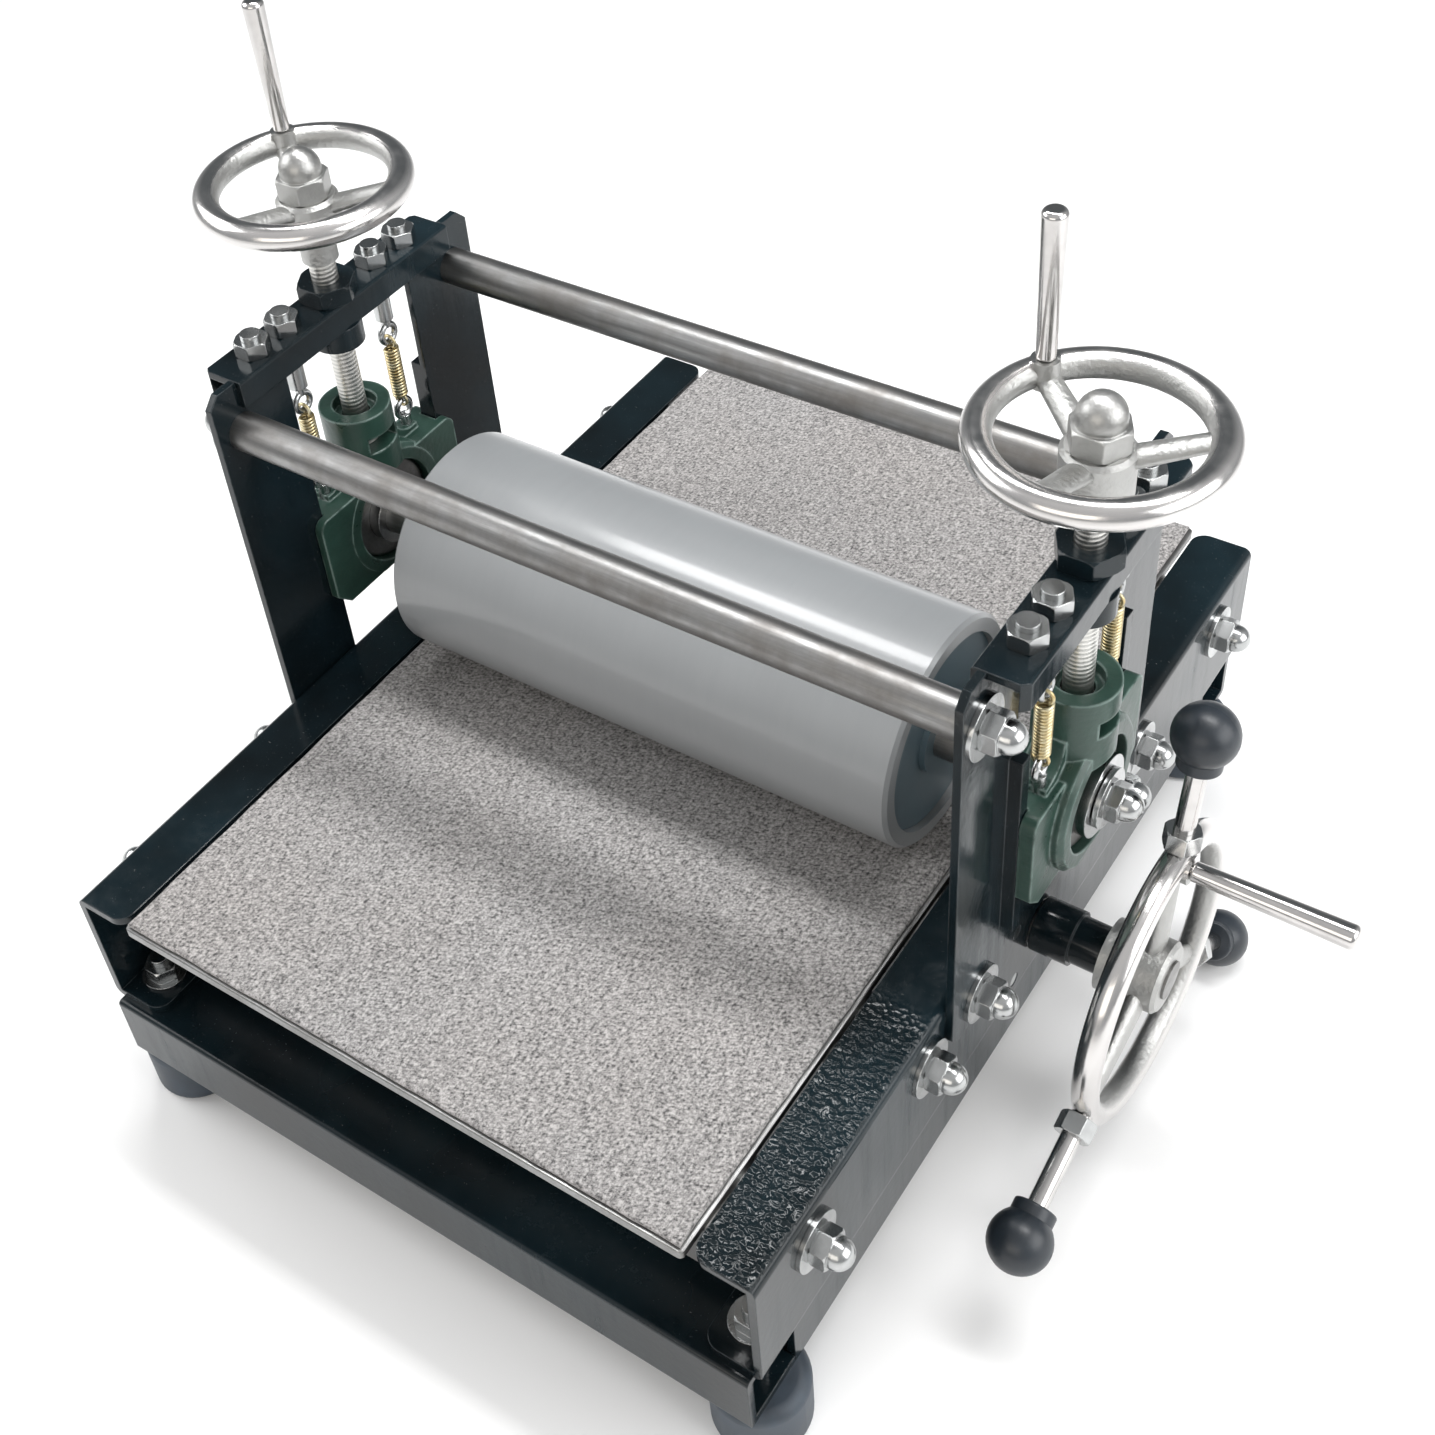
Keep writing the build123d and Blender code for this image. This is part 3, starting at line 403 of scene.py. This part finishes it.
class PRESS_OT_enamel(bpy.types.Operator):
    """Black enamel on rails, posts, crossbars and base; the right rail's top is hammered."""

    bl_idname = "press.enamel"
    bl_label = "Enamel"

    def execute(self, context):
        colours = context.scene.press_colours
        sizes = context.scene.press_sizes
        for name, hammered in (("enamel", False), ("hammered enamel", True)):
            material, tree, shader, place = new_material(name)
            smudge = use(tree, "Grain", {"Vector": place, "Scale": 14.0, "Low": 0.3, "High": 0.7})
            peel = use(tree, "Grain", {"Vector": place, "Scale": 260.0, "Low": 0.2, "High": 0.8})
            runs = use(tree, "Drawn Lines", {"Vector": place, "Stretch": (1.0, 1.0, 0.06),
                                             "Scale": 130.0})
            dust = use(tree, "Grain", {"Vector": place, "Scale": 900.0, "Detail": 2.0,
                                       "Low": 0.70, "High": 0.78})
            wear = use(tree, "Edge Wear", {"Vector": place, "Radius": 0.0008, "Amount": 3.0})
            base = blend_colour(tree, smudge[0], colours.enamel_deep, colours.enamel_sheen)
            base = blend_colour(tree, combine(tree, "MULTIPLY", wear[0], 0.6), base,
                                (0.11, 0.125, 0.135))
            base = blend_colour(tree, combine(tree, "MULTIPLY", dust[0], 0.3), base,
                                (0.22, 0.22, 0.21))
            film = combine(tree, "MULTIPLY", smudge[0], ramp(tree, runs[0], 0.35, 0.65))
            rough = ramp(tree, film, 0.0, 1.0, 0.10, 0.34)
            normal = bump(tree, peel[0], 0.10, 0.0003, wear["Normal"])
            if hammered:
                split = add(tree, "ShaderNodeSeparateXYZ", {"Vector": place})
                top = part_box("right_rail")[1].z
                near = ramp(tree, split.outputs["Y"], -sizes.hammer_start, -sizes.hammer_full)
                near = combine(tree, "MULTIPLY", near,
                               ramp(tree, split.outputs["Z"], top - 0.0010, top - 0.0004))
                dimples = use(tree, "Hammer Dimples", {"Vector": place, "Mask": near,
                                                       "Scale": 1.0 / sizes.hammer_size})
                normal = bump(tree, dimples[0], 1.0, 0.0010, normal)
            feed(tree, shader, Base_Color=base, Roughness=rough, Normal=normal)
            feed(tree, shader, Specular_IOR_Level=0.32)
            nodes = in_slot("black_enamel")
            paint([n for n in nodes if (n == "right_rail") == hammered], material)
        return {"FINISHED"}


class PRESS_OT_castings(bpy.types.Operator):
    """Green paint over the sand-cast skin of the bearing housings."""

    bl_idname = "press.castings"
    bl_label = "Castings"

    def execute(self, context):
        colours = context.scene.press_colours
        material, tree, shader, place = new_material("green casting")
        skin = use(tree, "Cast Skin", {"Vector": place, "Scale": 420.0})
        smudge = use(tree, "Grain", {"Vector": place, "Scale": 45.0, "Low": 0.3, "High": 0.7})
        wear = use(tree, "Edge Wear", {"Vector": place, "Radius": 0.0015, "Scale": 150.0,
                                       "Amount": 7.0})
        deep = tuple(0.6 * c for c in colours.casting)
        base = blend_colour(tree, smudge[0], deep, colours.casting)
        base = blend_colour(tree, wear[0], base, colours.casting_worn)
        normal = bump(tree, skin[0], 0.35, 0.0004, wear["Normal"])
        feed(tree, shader, Base_Color=base, Normal=normal,
             Roughness=ramp(tree, smudge[0], 0.0, 1.0, 0.26, 0.42))
        paint(in_slot("green_casting"), material)
        return {"FINISHED"}


class PRESS_OT_fasteners(bpy.types.Operator):
    """Bright zinc plate on bolts, nuts, washers, studs and eyes."""

    bl_idname = "press.fasteners"
    bl_label = "Fasteners"

    def execute(self, context):
        colours = context.scene.press_colours
        material, tree, shader, place = new_material("zinc plate")
        cloud = use(tree, "Grain", {"Vector": place, "Scale": 90.0, "Low": 0.3, "High": 0.7})
        fine = use(tree, "Grain", {"Vector": place, "Scale": 1200.0, "Low": 0.2, "High": 0.8})
        wear = use(tree, "Edge Wear", {"Vector": place, "Radius": 0.0005, "Amount": 2.0})
        dull = tuple(0.75 * c for c in colours.zinc)
        base = blend_colour(tree, cloud[0], dull, colours.zinc)
        base = blend_colour(tree, wear[0], base, (0.85, 0.86, 0.86))
        normal = bump(tree, fine[0], 0.10, 0.00003, wear["Normal"])
        feed(tree, shader, Base_Color=base, Normal=normal, Metallic=1.0,
             Roughness=ramp(tree, cloud[0], 0.0, 1.0, 0.28, 0.15))
        paint(in_slot("zinc"), material)
        return {"FINISHED"}


class PRESS_OT_bright_wheels(bpy.types.Operator):
    """Chrome on the rims and handles, plated casting inside the rims and on the hubs."""

    bl_idname = "press.bright_wheels"
    bl_label = "Bright Wheels"

    def wheel(self, colours, node, ring, plane):
        """Chrome whose polish stops at the inner half of the rim."""
        material, tree, shader, place = new_material(f"chrome {node}")
        hub = centre(node)
        moved = add(tree, "ShaderNodeVectorMath", {0: place, 1: hub}, operation="SUBTRACT")
        flat = add(tree, "ShaderNodeVectorMath", {0: moved.outputs[0], 1: plane},
                   operation="MULTIPLY")
        reach = add(tree, "ShaderNodeVectorMath", {0: flat.outputs[0]}, operation="LENGTH")
        cast = ramp(tree, reach.outputs["Value"], ring - 0.0026, ring - 0.0040)
        skin = use(tree, "Cast Skin", {"Vector": place, "Scale": 600.0})
        haze = use(tree, "Grain", {"Vector": place, "Scale": 110.0, "Low": 0.3, "High": 0.75})
        base = blend_colour(tree, cast, colours.chrome, colours.cast_silver)
        polished = ramp(tree, haze[0], 0.0, 1.0, 0.14, 0.26)
        rough = combine(tree, "ADD", polished, combine(tree, "MULTIPLY", cast, 0.22))
        height = combine(tree, "MULTIPLY", skin[0], ramp(tree, cast, 0.0, 1.0, 0.04, 1.0))
        feed(tree, shader, Base_Color=base, Metallic=1.0, Roughness=rough,
             Normal=bump(tree, height, 0.5, 0.0006))
        paint([node], material)

    def execute(self, context):
        colours = context.scene.press_colours
        sizes = context.scene.press_sizes
        for node in ("left_handwheel", "right_handwheel"):
            self.wheel(colours, node, sizes.handwheel_ring, (1.0, 1.0, 0.0))
        self.wheel(colours, "drive_wheel", sizes.drive_ring, (0.0, 1.0, 1.0))
        material, tree, shader, place = new_material("polished chrome")
        haze = use(tree, "Grain", {"Vector": place, "Scale": 90.0, "Low": 0.3, "High": 0.75})
        fine = use(tree, "Grain", {"Vector": place, "Scale": 1300.0, "Low": 0.2, "High": 0.8})
        base = blend_colour(tree, haze[0], colours.chrome, tuple(0.8 * c for c in colours.chrome))
        feed(tree, shader, Base_Color=base, Metallic=1.0,
             Roughness=ramp(tree, haze[0], 0.0, 1.0, 0.10, 0.22),
             Normal=bump(tree, fine[0], 0.06, 0.0001))
        wheels = ("left_handwheel", "right_handwheel", "drive_wheel")
        caps = ("left_wheel_cap_nut", "right_wheel_cap_nut")
        paint([n for n in in_slot("chrome") if n not in wheels + caps], material)
        material, tree, shader, place = new_material("satin cast nut")
        skin = use(tree, "Cast Skin", {"Vector": place, "Scale": 800.0})
        cloud = use(tree, "Grain", {"Vector": place, "Scale": 130.0, "Low": 0.3, "High": 0.7})
        wear = use(tree, "Edge Wear", {"Vector": place, "Radius": 0.0009, "Amount": 3.0})
        base = blend_colour(tree, cloud[0], tuple(0.8 * c for c in colours.cast_silver),
                            colours.cast_silver)
        base = blend_colour(tree, wear[0], base, tuple(1.4 * c for c in colours.cast_silver))
        feed(tree, shader, Base_Color=base, Metallic=1.0,
             Roughness=ramp(tree, cloud[0], 0.0, 1.0, 0.32, 0.46),
             Normal=bump(tree, skin[0], 0.35, 0.0003, wear["Normal"]))
        paint(caps, material)
        return {"FINISHED"}


class PRESS_OT_bare_steel(bpy.types.Operator):
    """Drawn steel on tie tubes, bed plate, shafts and idlers; threads on the screws."""

    bl_idname = "press.bare_steel"
    bl_label = "Bare Steel"

    def steel(self, colours, name, stretch, stain):
        """Bare steel with its drawn lines along one axis and a brown stain."""
        material, tree, shader, place = new_material(name)
        lines = use(tree, "Drawn Lines", {"Vector": place, "Stretch": stretch, "Scale": 700.0})
        cloud = use(tree, "Grain", {"Vector": place, "Scale": 55.0, "Detail": 6.0, "Low": 0.34,
                                    "High": 0.66})
        base = blend_colour(tree, combine(tree, "MULTIPLY", cloud[0], stain), colours.steel,
                            colours.steel_stain)
        darker = blend_colour(tree, ramp(tree, lines[0], 0.35, 0.65, 0.0, 0.45), base,
                              tuple(0.5 * c for c in colours.steel))
        rough = ramp(tree, cloud[0], 0.0, 1.0, 0.32, 0.50)
        feed(tree, shader, Base_Color=darker, Metallic=1.0, Roughness=rough)
        return material, tree, shader, place, lines

    def execute(self, context):
        colours = context.scene.press_colours
        sizes = context.scene.press_sizes
        along_x = (0.05, 1.0, 1.0)
        material, tree, shader, place, lines = self.steel(colours, "drawn steel", along_x, 0.8)
        feed(tree, shader, Normal=bump(tree, lines[0], 0.25, 0.0003))
        paint([n for n in in_slot("bare_steel") if not n.endswith("_screw")], material)
        plate = self.steel(colours, "plate steel", (1.0, 0.05, 1.0), 0.3)
        feed(plate[1], plate[2], Normal=bump(plate[1], plate[4][0], 0.2, 0.0003))
        paint(["bed_plate"], plate[0])
        for node in ("left_screw", "right_screw"):
            material, tree, shader, place, lines = self.steel(colours, f"thread {node}",
                                                              (1.0, 1.0, 1.0), 0.15)
            axis = centre(node)
            moved = add(tree, "ShaderNodeVectorMath", {0: place, 1: axis}, operation="SUBTRACT")
            split = add(tree, "ShaderNodeSeparateXYZ", {"Vector": moved.outputs[0]})
            turn = combine(tree, "ARCTAN2", split.outputs["Y"], split.outputs["X"])
            climb = combine(tree, "MULTIPLY", split.outputs["Z"], 2 * math.pi / sizes.thread_pitch)
            ridge = combine(tree, "SINE", combine(tree, "SUBTRACT", climb, turn), 0.0)
            feed(tree, shader, Normal=bump(tree, ridge, 0.25, 0.0002))
            # Painted highlight and painted shade: the colour is lighter on the thread crests and darker
            # in the grooves, following the same ridge as the bump.
            tone = blend_colour(tree, ramp(tree, ridge, -1.0, 1.0), (0.50, 0.50, 0.48),
                                (0.70, 0.69, 0.66))
            feed(tree, shader, Base_Color=tone)
            paint([node], material)
        return {"FINISHED"}


class PRESS_OT_roller(bpy.types.Operator):
    """Satin grey on the upper roller and blue-grey on its end discs."""

    bl_idname = "press.roller"
    bl_label = "Upper Roller"

    def execute(self, context):
        colours = context.scene.press_colours
        for node, name, tone, coat in (
            ("top_roller", "roller grey", colours.roller, 0.55),
            ("roller_end_discs", "disc blue", colours.disc, 0.25),
        ):
            material, tree, shader, place = new_material(name)
            cloud = use(tree, "Grain", {"Vector": place, "Scale": 12.0, "Low": 0.3, "High": 0.7})
            lines = use(tree, "Drawn Lines", {"Vector": place, "Stretch": (1.0, 0.12, 0.12),
                                              "Scale": 260.0})
            base = blend_colour(tree, cloud[0], tuple(0.93 * c for c in tone), tone)
            base = blend_colour(tree, ramp(tree, lines[0], 0.4, 0.7, 0.0, 0.12), base,
                                tuple(0.75 * c for c in tone))
            height = combine(tree, "MULTIPLY", lines[0], 0.5)
            feed(tree, shader, Base_Color=base, Coat_Weight=coat,
                 Roughness=ramp(tree, cloud[0], 0.0, 1.0, 0.34, 0.42),
                 Normal=bump(tree, height, 0.12, 0.0003), Coat_Roughness=0.12)
            paint([node], material)
        return {"FINISHED"}


class PRESS_OT_rubber(bpy.types.Operator):
    """Blue-black rubber on the feet and the ball knobs."""

    bl_idname = "press.rubber"
    bl_label = "Rubber"

    def execute(self, context):
        colours = context.scene.press_colours
        for slot_name, share, gloss in (("rubber", 1.0, 0.42), ("black_knob", 0.42, 0.30)):
            material, tree, shader, place = new_material(slot_name.replace("_", " "))
            bloom = use(tree, "Grain", {"Vector": place, "Scale": 70.0, "Detail": 5.0,
                                        "Low": 0.3, "High": 0.7})
            fine = use(tree, "Grain", {"Vector": place, "Scale": 1100.0, "Low": 0.2, "High": 0.8})
            deep = tuple(share * c for c in colours.rubber)
            base = blend_colour(tree, bloom[0], deep, tuple(2.0 * c for c in deep))
            feed(tree, shader, Base_Color=base,
                 Roughness=ramp(tree, bloom[0], 0.0, 1.0, gloss, gloss + 0.14),
                 Normal=bump(tree, fine[0], 0.2, 0.0001))
            paint(in_slot(slot_name), material)
        return {"FINISHED"}


class PRESS_OT_felt(bpy.types.Operator):
    """Grey wool blanket laid on the bed plate."""

    bl_idname = "press.felt"
    bl_label = "Felt Blanket"

    def sheet_grids(self, low, high, step, thick):
        """Two sheets that meet at the rim: z = z0 + t/2 -+ t/2 sqrt(1 - e^2).

        e runs from 0 at t/2 inside the rim to 1 at the rim, the larger of its values in x
        and y. The upper sheet adds a slow wave under a tenth of a millimetre, and the rim
        wanders in and out by two sines.
        """
        half = thick / 2
        grids = []
        axes = []
        for lo, hi in ((low.x, high.x), (low.y, high.y)):
            count = int((hi - lo - 2 * half) / step) + 1
            rim = half * (1 - np.cos(np.linspace(0, math.pi / 2, 5)[:-1]))
            inner = np.linspace(lo + half, hi - half, count)
            axes.append(np.concatenate([lo + rim, inner, (hi - rim)[::-1]]))
        x, y = np.meshgrid(axes[0], axes[1], indexing="ij")
        ex = np.clip((np.abs(x - (low.x + high.x) / 2) - (high.x - low.x) / 2 + half) / half, 0, 1)
        ey = np.clip((np.abs(y - (low.y + high.y) / 2) - (high.y - low.y) / 2 + half) / half, 0, 1)
        rise = half * np.sqrt(1 - np.maximum(ex, ey) ** 2)
        wave = 0.00004 * np.sin(41 * x + 1.3) * np.sin(33 * y) + 0.00003 * np.sin(97 * x - 60 * y)
        wander = 0.00022 * (np.sin(70 * y + 2 * x) + 0.6 * np.sin(211 * y + 1.7))
        wander_y = 0.00022 * (np.sin(83 * x) + 0.6 * np.sin(233 * x + 0.6))
        x2 = x - np.sign(x - (low.x + high.x) / 2) * np.abs(wander) * (ex > 0)
        y2 = y - np.sign(y - (low.y + high.y) / 2) * np.abs(wander_y) * (ey > 0)
        for sign in (1, -1):
            z = low.z + half + sign * rise + (wave - 0.00007) * (sign > 0) * (rise / half)
            grid = np.stack([x2, y2, z], -1)
            grids.append(grid if sign > 0 else grid[::-1])
        return grids

    def cloth(self, colours):
        """Mottled wool: short crossed fibres, light and dark, over slow patches."""
        material, tree, shader, place = new_material("wool felt")
        fibre_a = use(tree, "Drawn Lines", {"Vector": place, "Stretch": (1.0, 0.34, 1.0),
                                            "Scale": 1150.0})
        turned = add(tree, "ShaderNodeVectorRotate", {"Vector": place, "Angle": 1.1},
                     rotation_type="Z_AXIS")
        fibre_b = use(tree, "Drawn Lines", {"Vector": turned.outputs[0],
                                            "Stretch": (1.0, 0.34, 1.0), "Scale": 1050.0})
        tuft = use(tree, "Grain", {"Vector": place, "Scale": 800.0, "Detail": 5.0, "Low": 0.3,
                                   "High": 0.7})
        patch = use(tree, "Grain", {"Vector": place, "Scale": 9.0, "Low": 0.3, "High": 0.7})
        mixed = combine(tree, "ADD", combine(tree, "MULTIPLY", fibre_a[0], 0.5),
                        combine(tree, "MULTIPLY", fibre_b[0], 0.5))
        mixed = combine(tree, "ADD", combine(tree, "MULTIPLY", mixed, 0.80),
                        combine(tree, "MULTIPLY", tuft[0], 0.20))
        tone = ramp(tree, mixed, 0.38, 0.61)
        base = blend_colour(tree, tone, colours.felt_dark, colours.felt_light)
        warm = blend_colour(tree, 0.5, base, (1.0, 0.93, 0.88), "MULTIPLY")
        base = blend_colour(tree, combine(tree, "MULTIPLY", patch[0], 0.7), base, warm)
        feed(tree, shader, Base_Color=base, Roughness=ramp(tree, tone, 0.0, 1.0, 0.85, 0.97),
             Normal=bump(tree, mixed, 0.7, 0.0006))
        feed(tree, shader, Sheen_Weight=0.25, Sheen_Roughness=0.5)
        return material

    def execute(self, context):
        sizes = context.scene.press_sizes
        low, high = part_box("felt_blanket")
        grids = self.sheet_grids(low, high, sizes.felt_step, sizes.felt_thickness)
        piece = grid_piece("wool_blanket", grids)
        piece.data.materials.append(self.cloth(context.scene.press_colours))
        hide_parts("felt_blanket")
        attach(piece, "bed")
        return {"FINISHED"}


class PRESS_OT_springs(bpy.types.Operator):
    """Close-wound return springs with hooks in the eyes above and below."""

    bl_idname = "press.springs"
    bl_label = "Return Springs"

    def wire_path(self, x, y, low, high, mean, pitch):
        """Hook, coil and hook, and the vector from the local centre at each point.

        Coil: (x + R cos a, y + R sin a, z0 + p a / 2 pi). Hooks: circles of the same R in
        the XZ plane about each end, joined to the coil by a short straight.
        """
        z0, z1 = low + mean * 0.9, high - mean * 0.9
        turns = max(1, round((z1 - z0) / pitch))
        a = np.linspace(math.pi, math.pi + 2 * math.pi * turns, 22 * turns)
        coil = np.stack([x + mean * np.cos(a), y + mean * np.sin(a),
                         z0 + (z1 - z0) * (a - math.pi) / (2 * math.pi * turns)], -1)
        coil_out = np.stack([np.cos(a), np.sin(a), 0 * a], -1)
        b = np.linspace(math.radians(65), -math.pi, 26)
        hook = np.stack([x + mean * np.cos(b), y + 0 * b, low + mean * np.sin(b)], -1)
        hook_out = np.stack([np.cos(b), 0 * b, np.sin(b)], -1)
        top = hook * (1, 1, -1) + (0, 0, low + high)
        top_out = hook_out * (1, 1, -1)
        cuts = (len(hook), len(hook) + len(coil))
        path = np.concatenate([hook, coil, top[::-1]])
        out = np.concatenate([hook_out, coil_out, top_out[::-1]])
        pad = np.pad(path, ((2, 2), (0, 0)), mode="edge")
        smooth = sum(pad[i : i + len(path)] for i in range(5)) / 5
        smooth[:2], smooth[-2:] = path[:2], path[-2:]
        return smooth, out, cuts

    def execute(self, context):
        sizes = context.scene.press_sizes
        colours = context.scene.press_colours
        node = frame["nodes"]["return_springs"]
        low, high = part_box("return_springs")
        mean = (sizes.coil - sizes.wire) / 2
        end = sizes.coil / 2
        xs = (low.x + end, high.x - end)
        ys = (low.y + end, high.y - end)
        points = np.empty(len(node.data.vertices) * 3)
        node.data.vertices.foreach_get("co", points)
        inner = np.abs(points.reshape(-1, 3)[:, 1])
        ys = (low.y + end, -(inner.min() + end), inner.min() + end, high.y - end)
        rows = sorted({round(v, 4) for v in ys})
        runs = {"lower_spring_hooks": [], "spring_coils": [], "upper_spring_hooks": []}
        for x in xs:
            for y in rows:
                path, out, cuts = self.wire_path(x, y, low.z + end, high.z - end, mean,
                                                 sizes.wire * 1.05)
                lap = 4    # points by which a hook runs into its coil
                spans = (slice(0, cuts[0] + lap), slice(cuts[0], cuts[1]),
                         slice(cuts[1] - lap, None))
                for grids, span in zip(runs.values(), spans):
                    grids.append(round_wire(path[span], out[span], sizes.wire / 2))
        material, tree, shader, place = new_material("spring wire")
        cloud = use(tree, "Grain", {"Vector": place, "Scale": 300.0, "Low": 0.3, "High": 0.7})
        base = blend_colour(tree, cloud[0], colours.spring, (0.62, 0.58, 0.42))
        feed(tree, shader, Base_Color=base, Metallic=1.0,
             Roughness=ramp(tree, cloud[0], 0.0, 1.0, 0.28, 0.42),
             Normal=bump(tree, cloud[0], 0.15, 0.0002))
        for name, grids in runs.items():
            piece = grid_piece(name, grids, wrap=True)
            piece.data.materials.append(material)
            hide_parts("return_springs")
            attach(piece, "carriage" if name == "lower_spring_hooks" else "frame")
            if name == "spring_coils":
                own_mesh(piece)
        return {"FINISHED"}


class PRESS_OT_stage(bpy.types.Operator):
    """Pale floor, soft lights and the camera."""

    bl_idname = "press.stage"
    bl_label = "Stage"

    def light(self, name, place, target, size, power, tone=(1, 1, 1)):
        """A soft rectangular light that points at a target."""
        lamp = bpy.data.lights.new(name, "AREA")
        lamp.shape = "RECTANGLE"
        lamp.size, lamp.size_y = size
        lamp.energy = power
        lamp.color = tone
        holder = bpy.data.objects.new(name, lamp)
        holder.location = place
        aim = np.array(target, float) - np.array(place, float)
        flat = math.hypot(aim[0], aim[1])
        holder.rotation_euler = (math.atan2(flat, -aim[2]), 0, math.atan2(aim[1], aim[0]) - math.pi / 2)
        bpy.context.scene.collection.objects.link(holder)

    def floor(self, tone):
        """A flat square far wider than the press, with a faint slow cloud in its colour."""
        u = np.linspace(-4.0, 4.0, 9)
        x, y = np.meshgrid(u, u, indexing="ij")
        piece = grid_piece("studio_floor", [np.stack([x, y, 0 * x], -1)])
        material, tree, shader, place = new_material("pale floor")
        cloud = use(tree, "Grain", {"Vector": place, "Scale": 3.0, "Low": 0.3, "High": 0.7})
        feed(tree, shader, Base_Color=blend_colour(tree, cloud[0], tone,
                                                   tuple(0.985 * c for c in tone)),
             Roughness=0.7)
        piece.data.materials.append(material)

    def execute(self, context):
        stage = context.scene.press_stage
        scene = context.scene
        scene.view_settings.view_transform = "Standard"
        self.floor(stage.floor_tint)
        camera = bpy.data.cameras.new("view")
        camera.lens = stage.lens
        camera.sensor_width = 36.0
        camera.shift_x, camera.shift_y = stage.shift
        camera.clip_start = 0.01
        holder = bpy.data.objects.new("view", camera)
        holder.location = stage.eye
        holder.rotation_euler = stage.tilt
        scene.collection.objects.link(holder)
        scene.camera = holder
        self.light("overhead strip", (0.0, 0.22, 1.25), (0.0, 0.0, 0.15), (1.3, 0.22), 16.0)
        self.light("right panel", (1.35, 0.15, 0.75), (0.1, 0.0, 0.1), (1.2, 1.0), 15.0)
        self.light("left panel", (-1.2, -0.35, 0.95), (-0.1, 0.0, 0.15), (1.0, 0.8), 10.0)
        self.light("front fill", (0.2, -1.4, 0.7), (0.0, 0.0, 0.1), (1.2, 0.6), 4.0,
                   (1.0, 0.93, 0.84))
        world = bpy.data.worlds.new("studio")
        scene.world = world
        world.use_nodes = True
        tree = world.node_tree
        tree.nodes.clear()
        where = add(tree, "ShaderNodeTexCoord")
        split = add(tree, "ShaderNodeSeparateXYZ", {"Vector": where.outputs["Generated"]})
        corner = np.array((-0.44, 0.60, 0.67))
        lean = add(tree, "ShaderNodeVectorMath", {0: where.outputs["Generated"], 1: corner},
                   operation="DOT_PRODUCT")
        sky = blend_colour(tree, ramp(tree, split.outputs["Z"], -0.1, 0.9),
                           (0.55, 0.565, 0.58), (1.0, 1.0, 1.0))
        sky = blend_colour(tree, ramp(tree, lean.outputs["Value"], 0.45, 0.93), sky,
                           (0.17, 0.185, 0.195))
        sky = add(tree, "ShaderNodeBackground", {"Color": sky, "Strength": 0.75})
        out = add(tree, "ShaderNodeOutputWorld")
        tree.links.new(sky.outputs[0], out.inputs[0])
        return {"FINISHED"}


class PRESS_PT_panel(bpy.types.Panel):
    """Lists the press's steps in the sidebar."""

    bl_idname = "PRESS_PT_panel"
    bl_label = "Etching Press"
    bl_space_type = "VIEW_3D"
    bl_region_type = "UI"
    bl_category = "Press"

    def draw(self, context):
        column = self.layout.column()
        for settings in ("press_colours", "press_sizes", "press_stage"):
            group = getattr(context.scene, settings)
            for name in group.__annotations__:
                column.prop(group, name)
        for step in steps:
            column.operator(step.bl_idname)


groups = (PressColours, PressSizes, PressStage)
steps = (
    PRESS_OT_enamel,
    PRESS_OT_castings,
    PRESS_OT_fasteners,
    PRESS_OT_bright_wheels,
    PRESS_OT_bare_steel,
    PRESS_OT_roller,
    PRESS_OT_rubber,
    PRESS_OT_felt,
    PRESS_OT_springs,
    PRESS_OT_stage,
)


def register():
    """Register every class and hang the settings on the scene."""
    for item in (*groups, *steps, PRESS_PT_panel):
        bpy.utils.register_class(item)
    bpy.types.Scene.press_colours = bpy.props.PointerProperty(type=PressColours)
    bpy.types.Scene.press_sizes = bpy.props.PointerProperty(type=PressSizes)
    bpy.types.Scene.press_stage = bpy.props.PointerProperty(type=PressStage)


def unregister():
    """Undo register."""
    del bpy.types.Scene.press_stage
    del bpy.types.Scene.press_sizes
    del bpy.types.Scene.press_colours
    for item in reversed((*groups, *steps, PRESS_PT_panel)):
        bpy.utils.unregister_class(item)


def main():
    """Run every step in order."""
    register()
    shared_groups()
    bpy.ops.press.enamel()
    bpy.ops.press.castings()
    bpy.ops.press.fasteners()
    bpy.ops.press.bright_wheels()
    bpy.ops.press.bare_steel()
    bpy.ops.press.roller()
    bpy.ops.press.rubber()
    bpy.ops.press.felt()
    bpy.ops.press.springs()
    bpy.ops.press.stage()


if __name__ == "__main__":
    main()
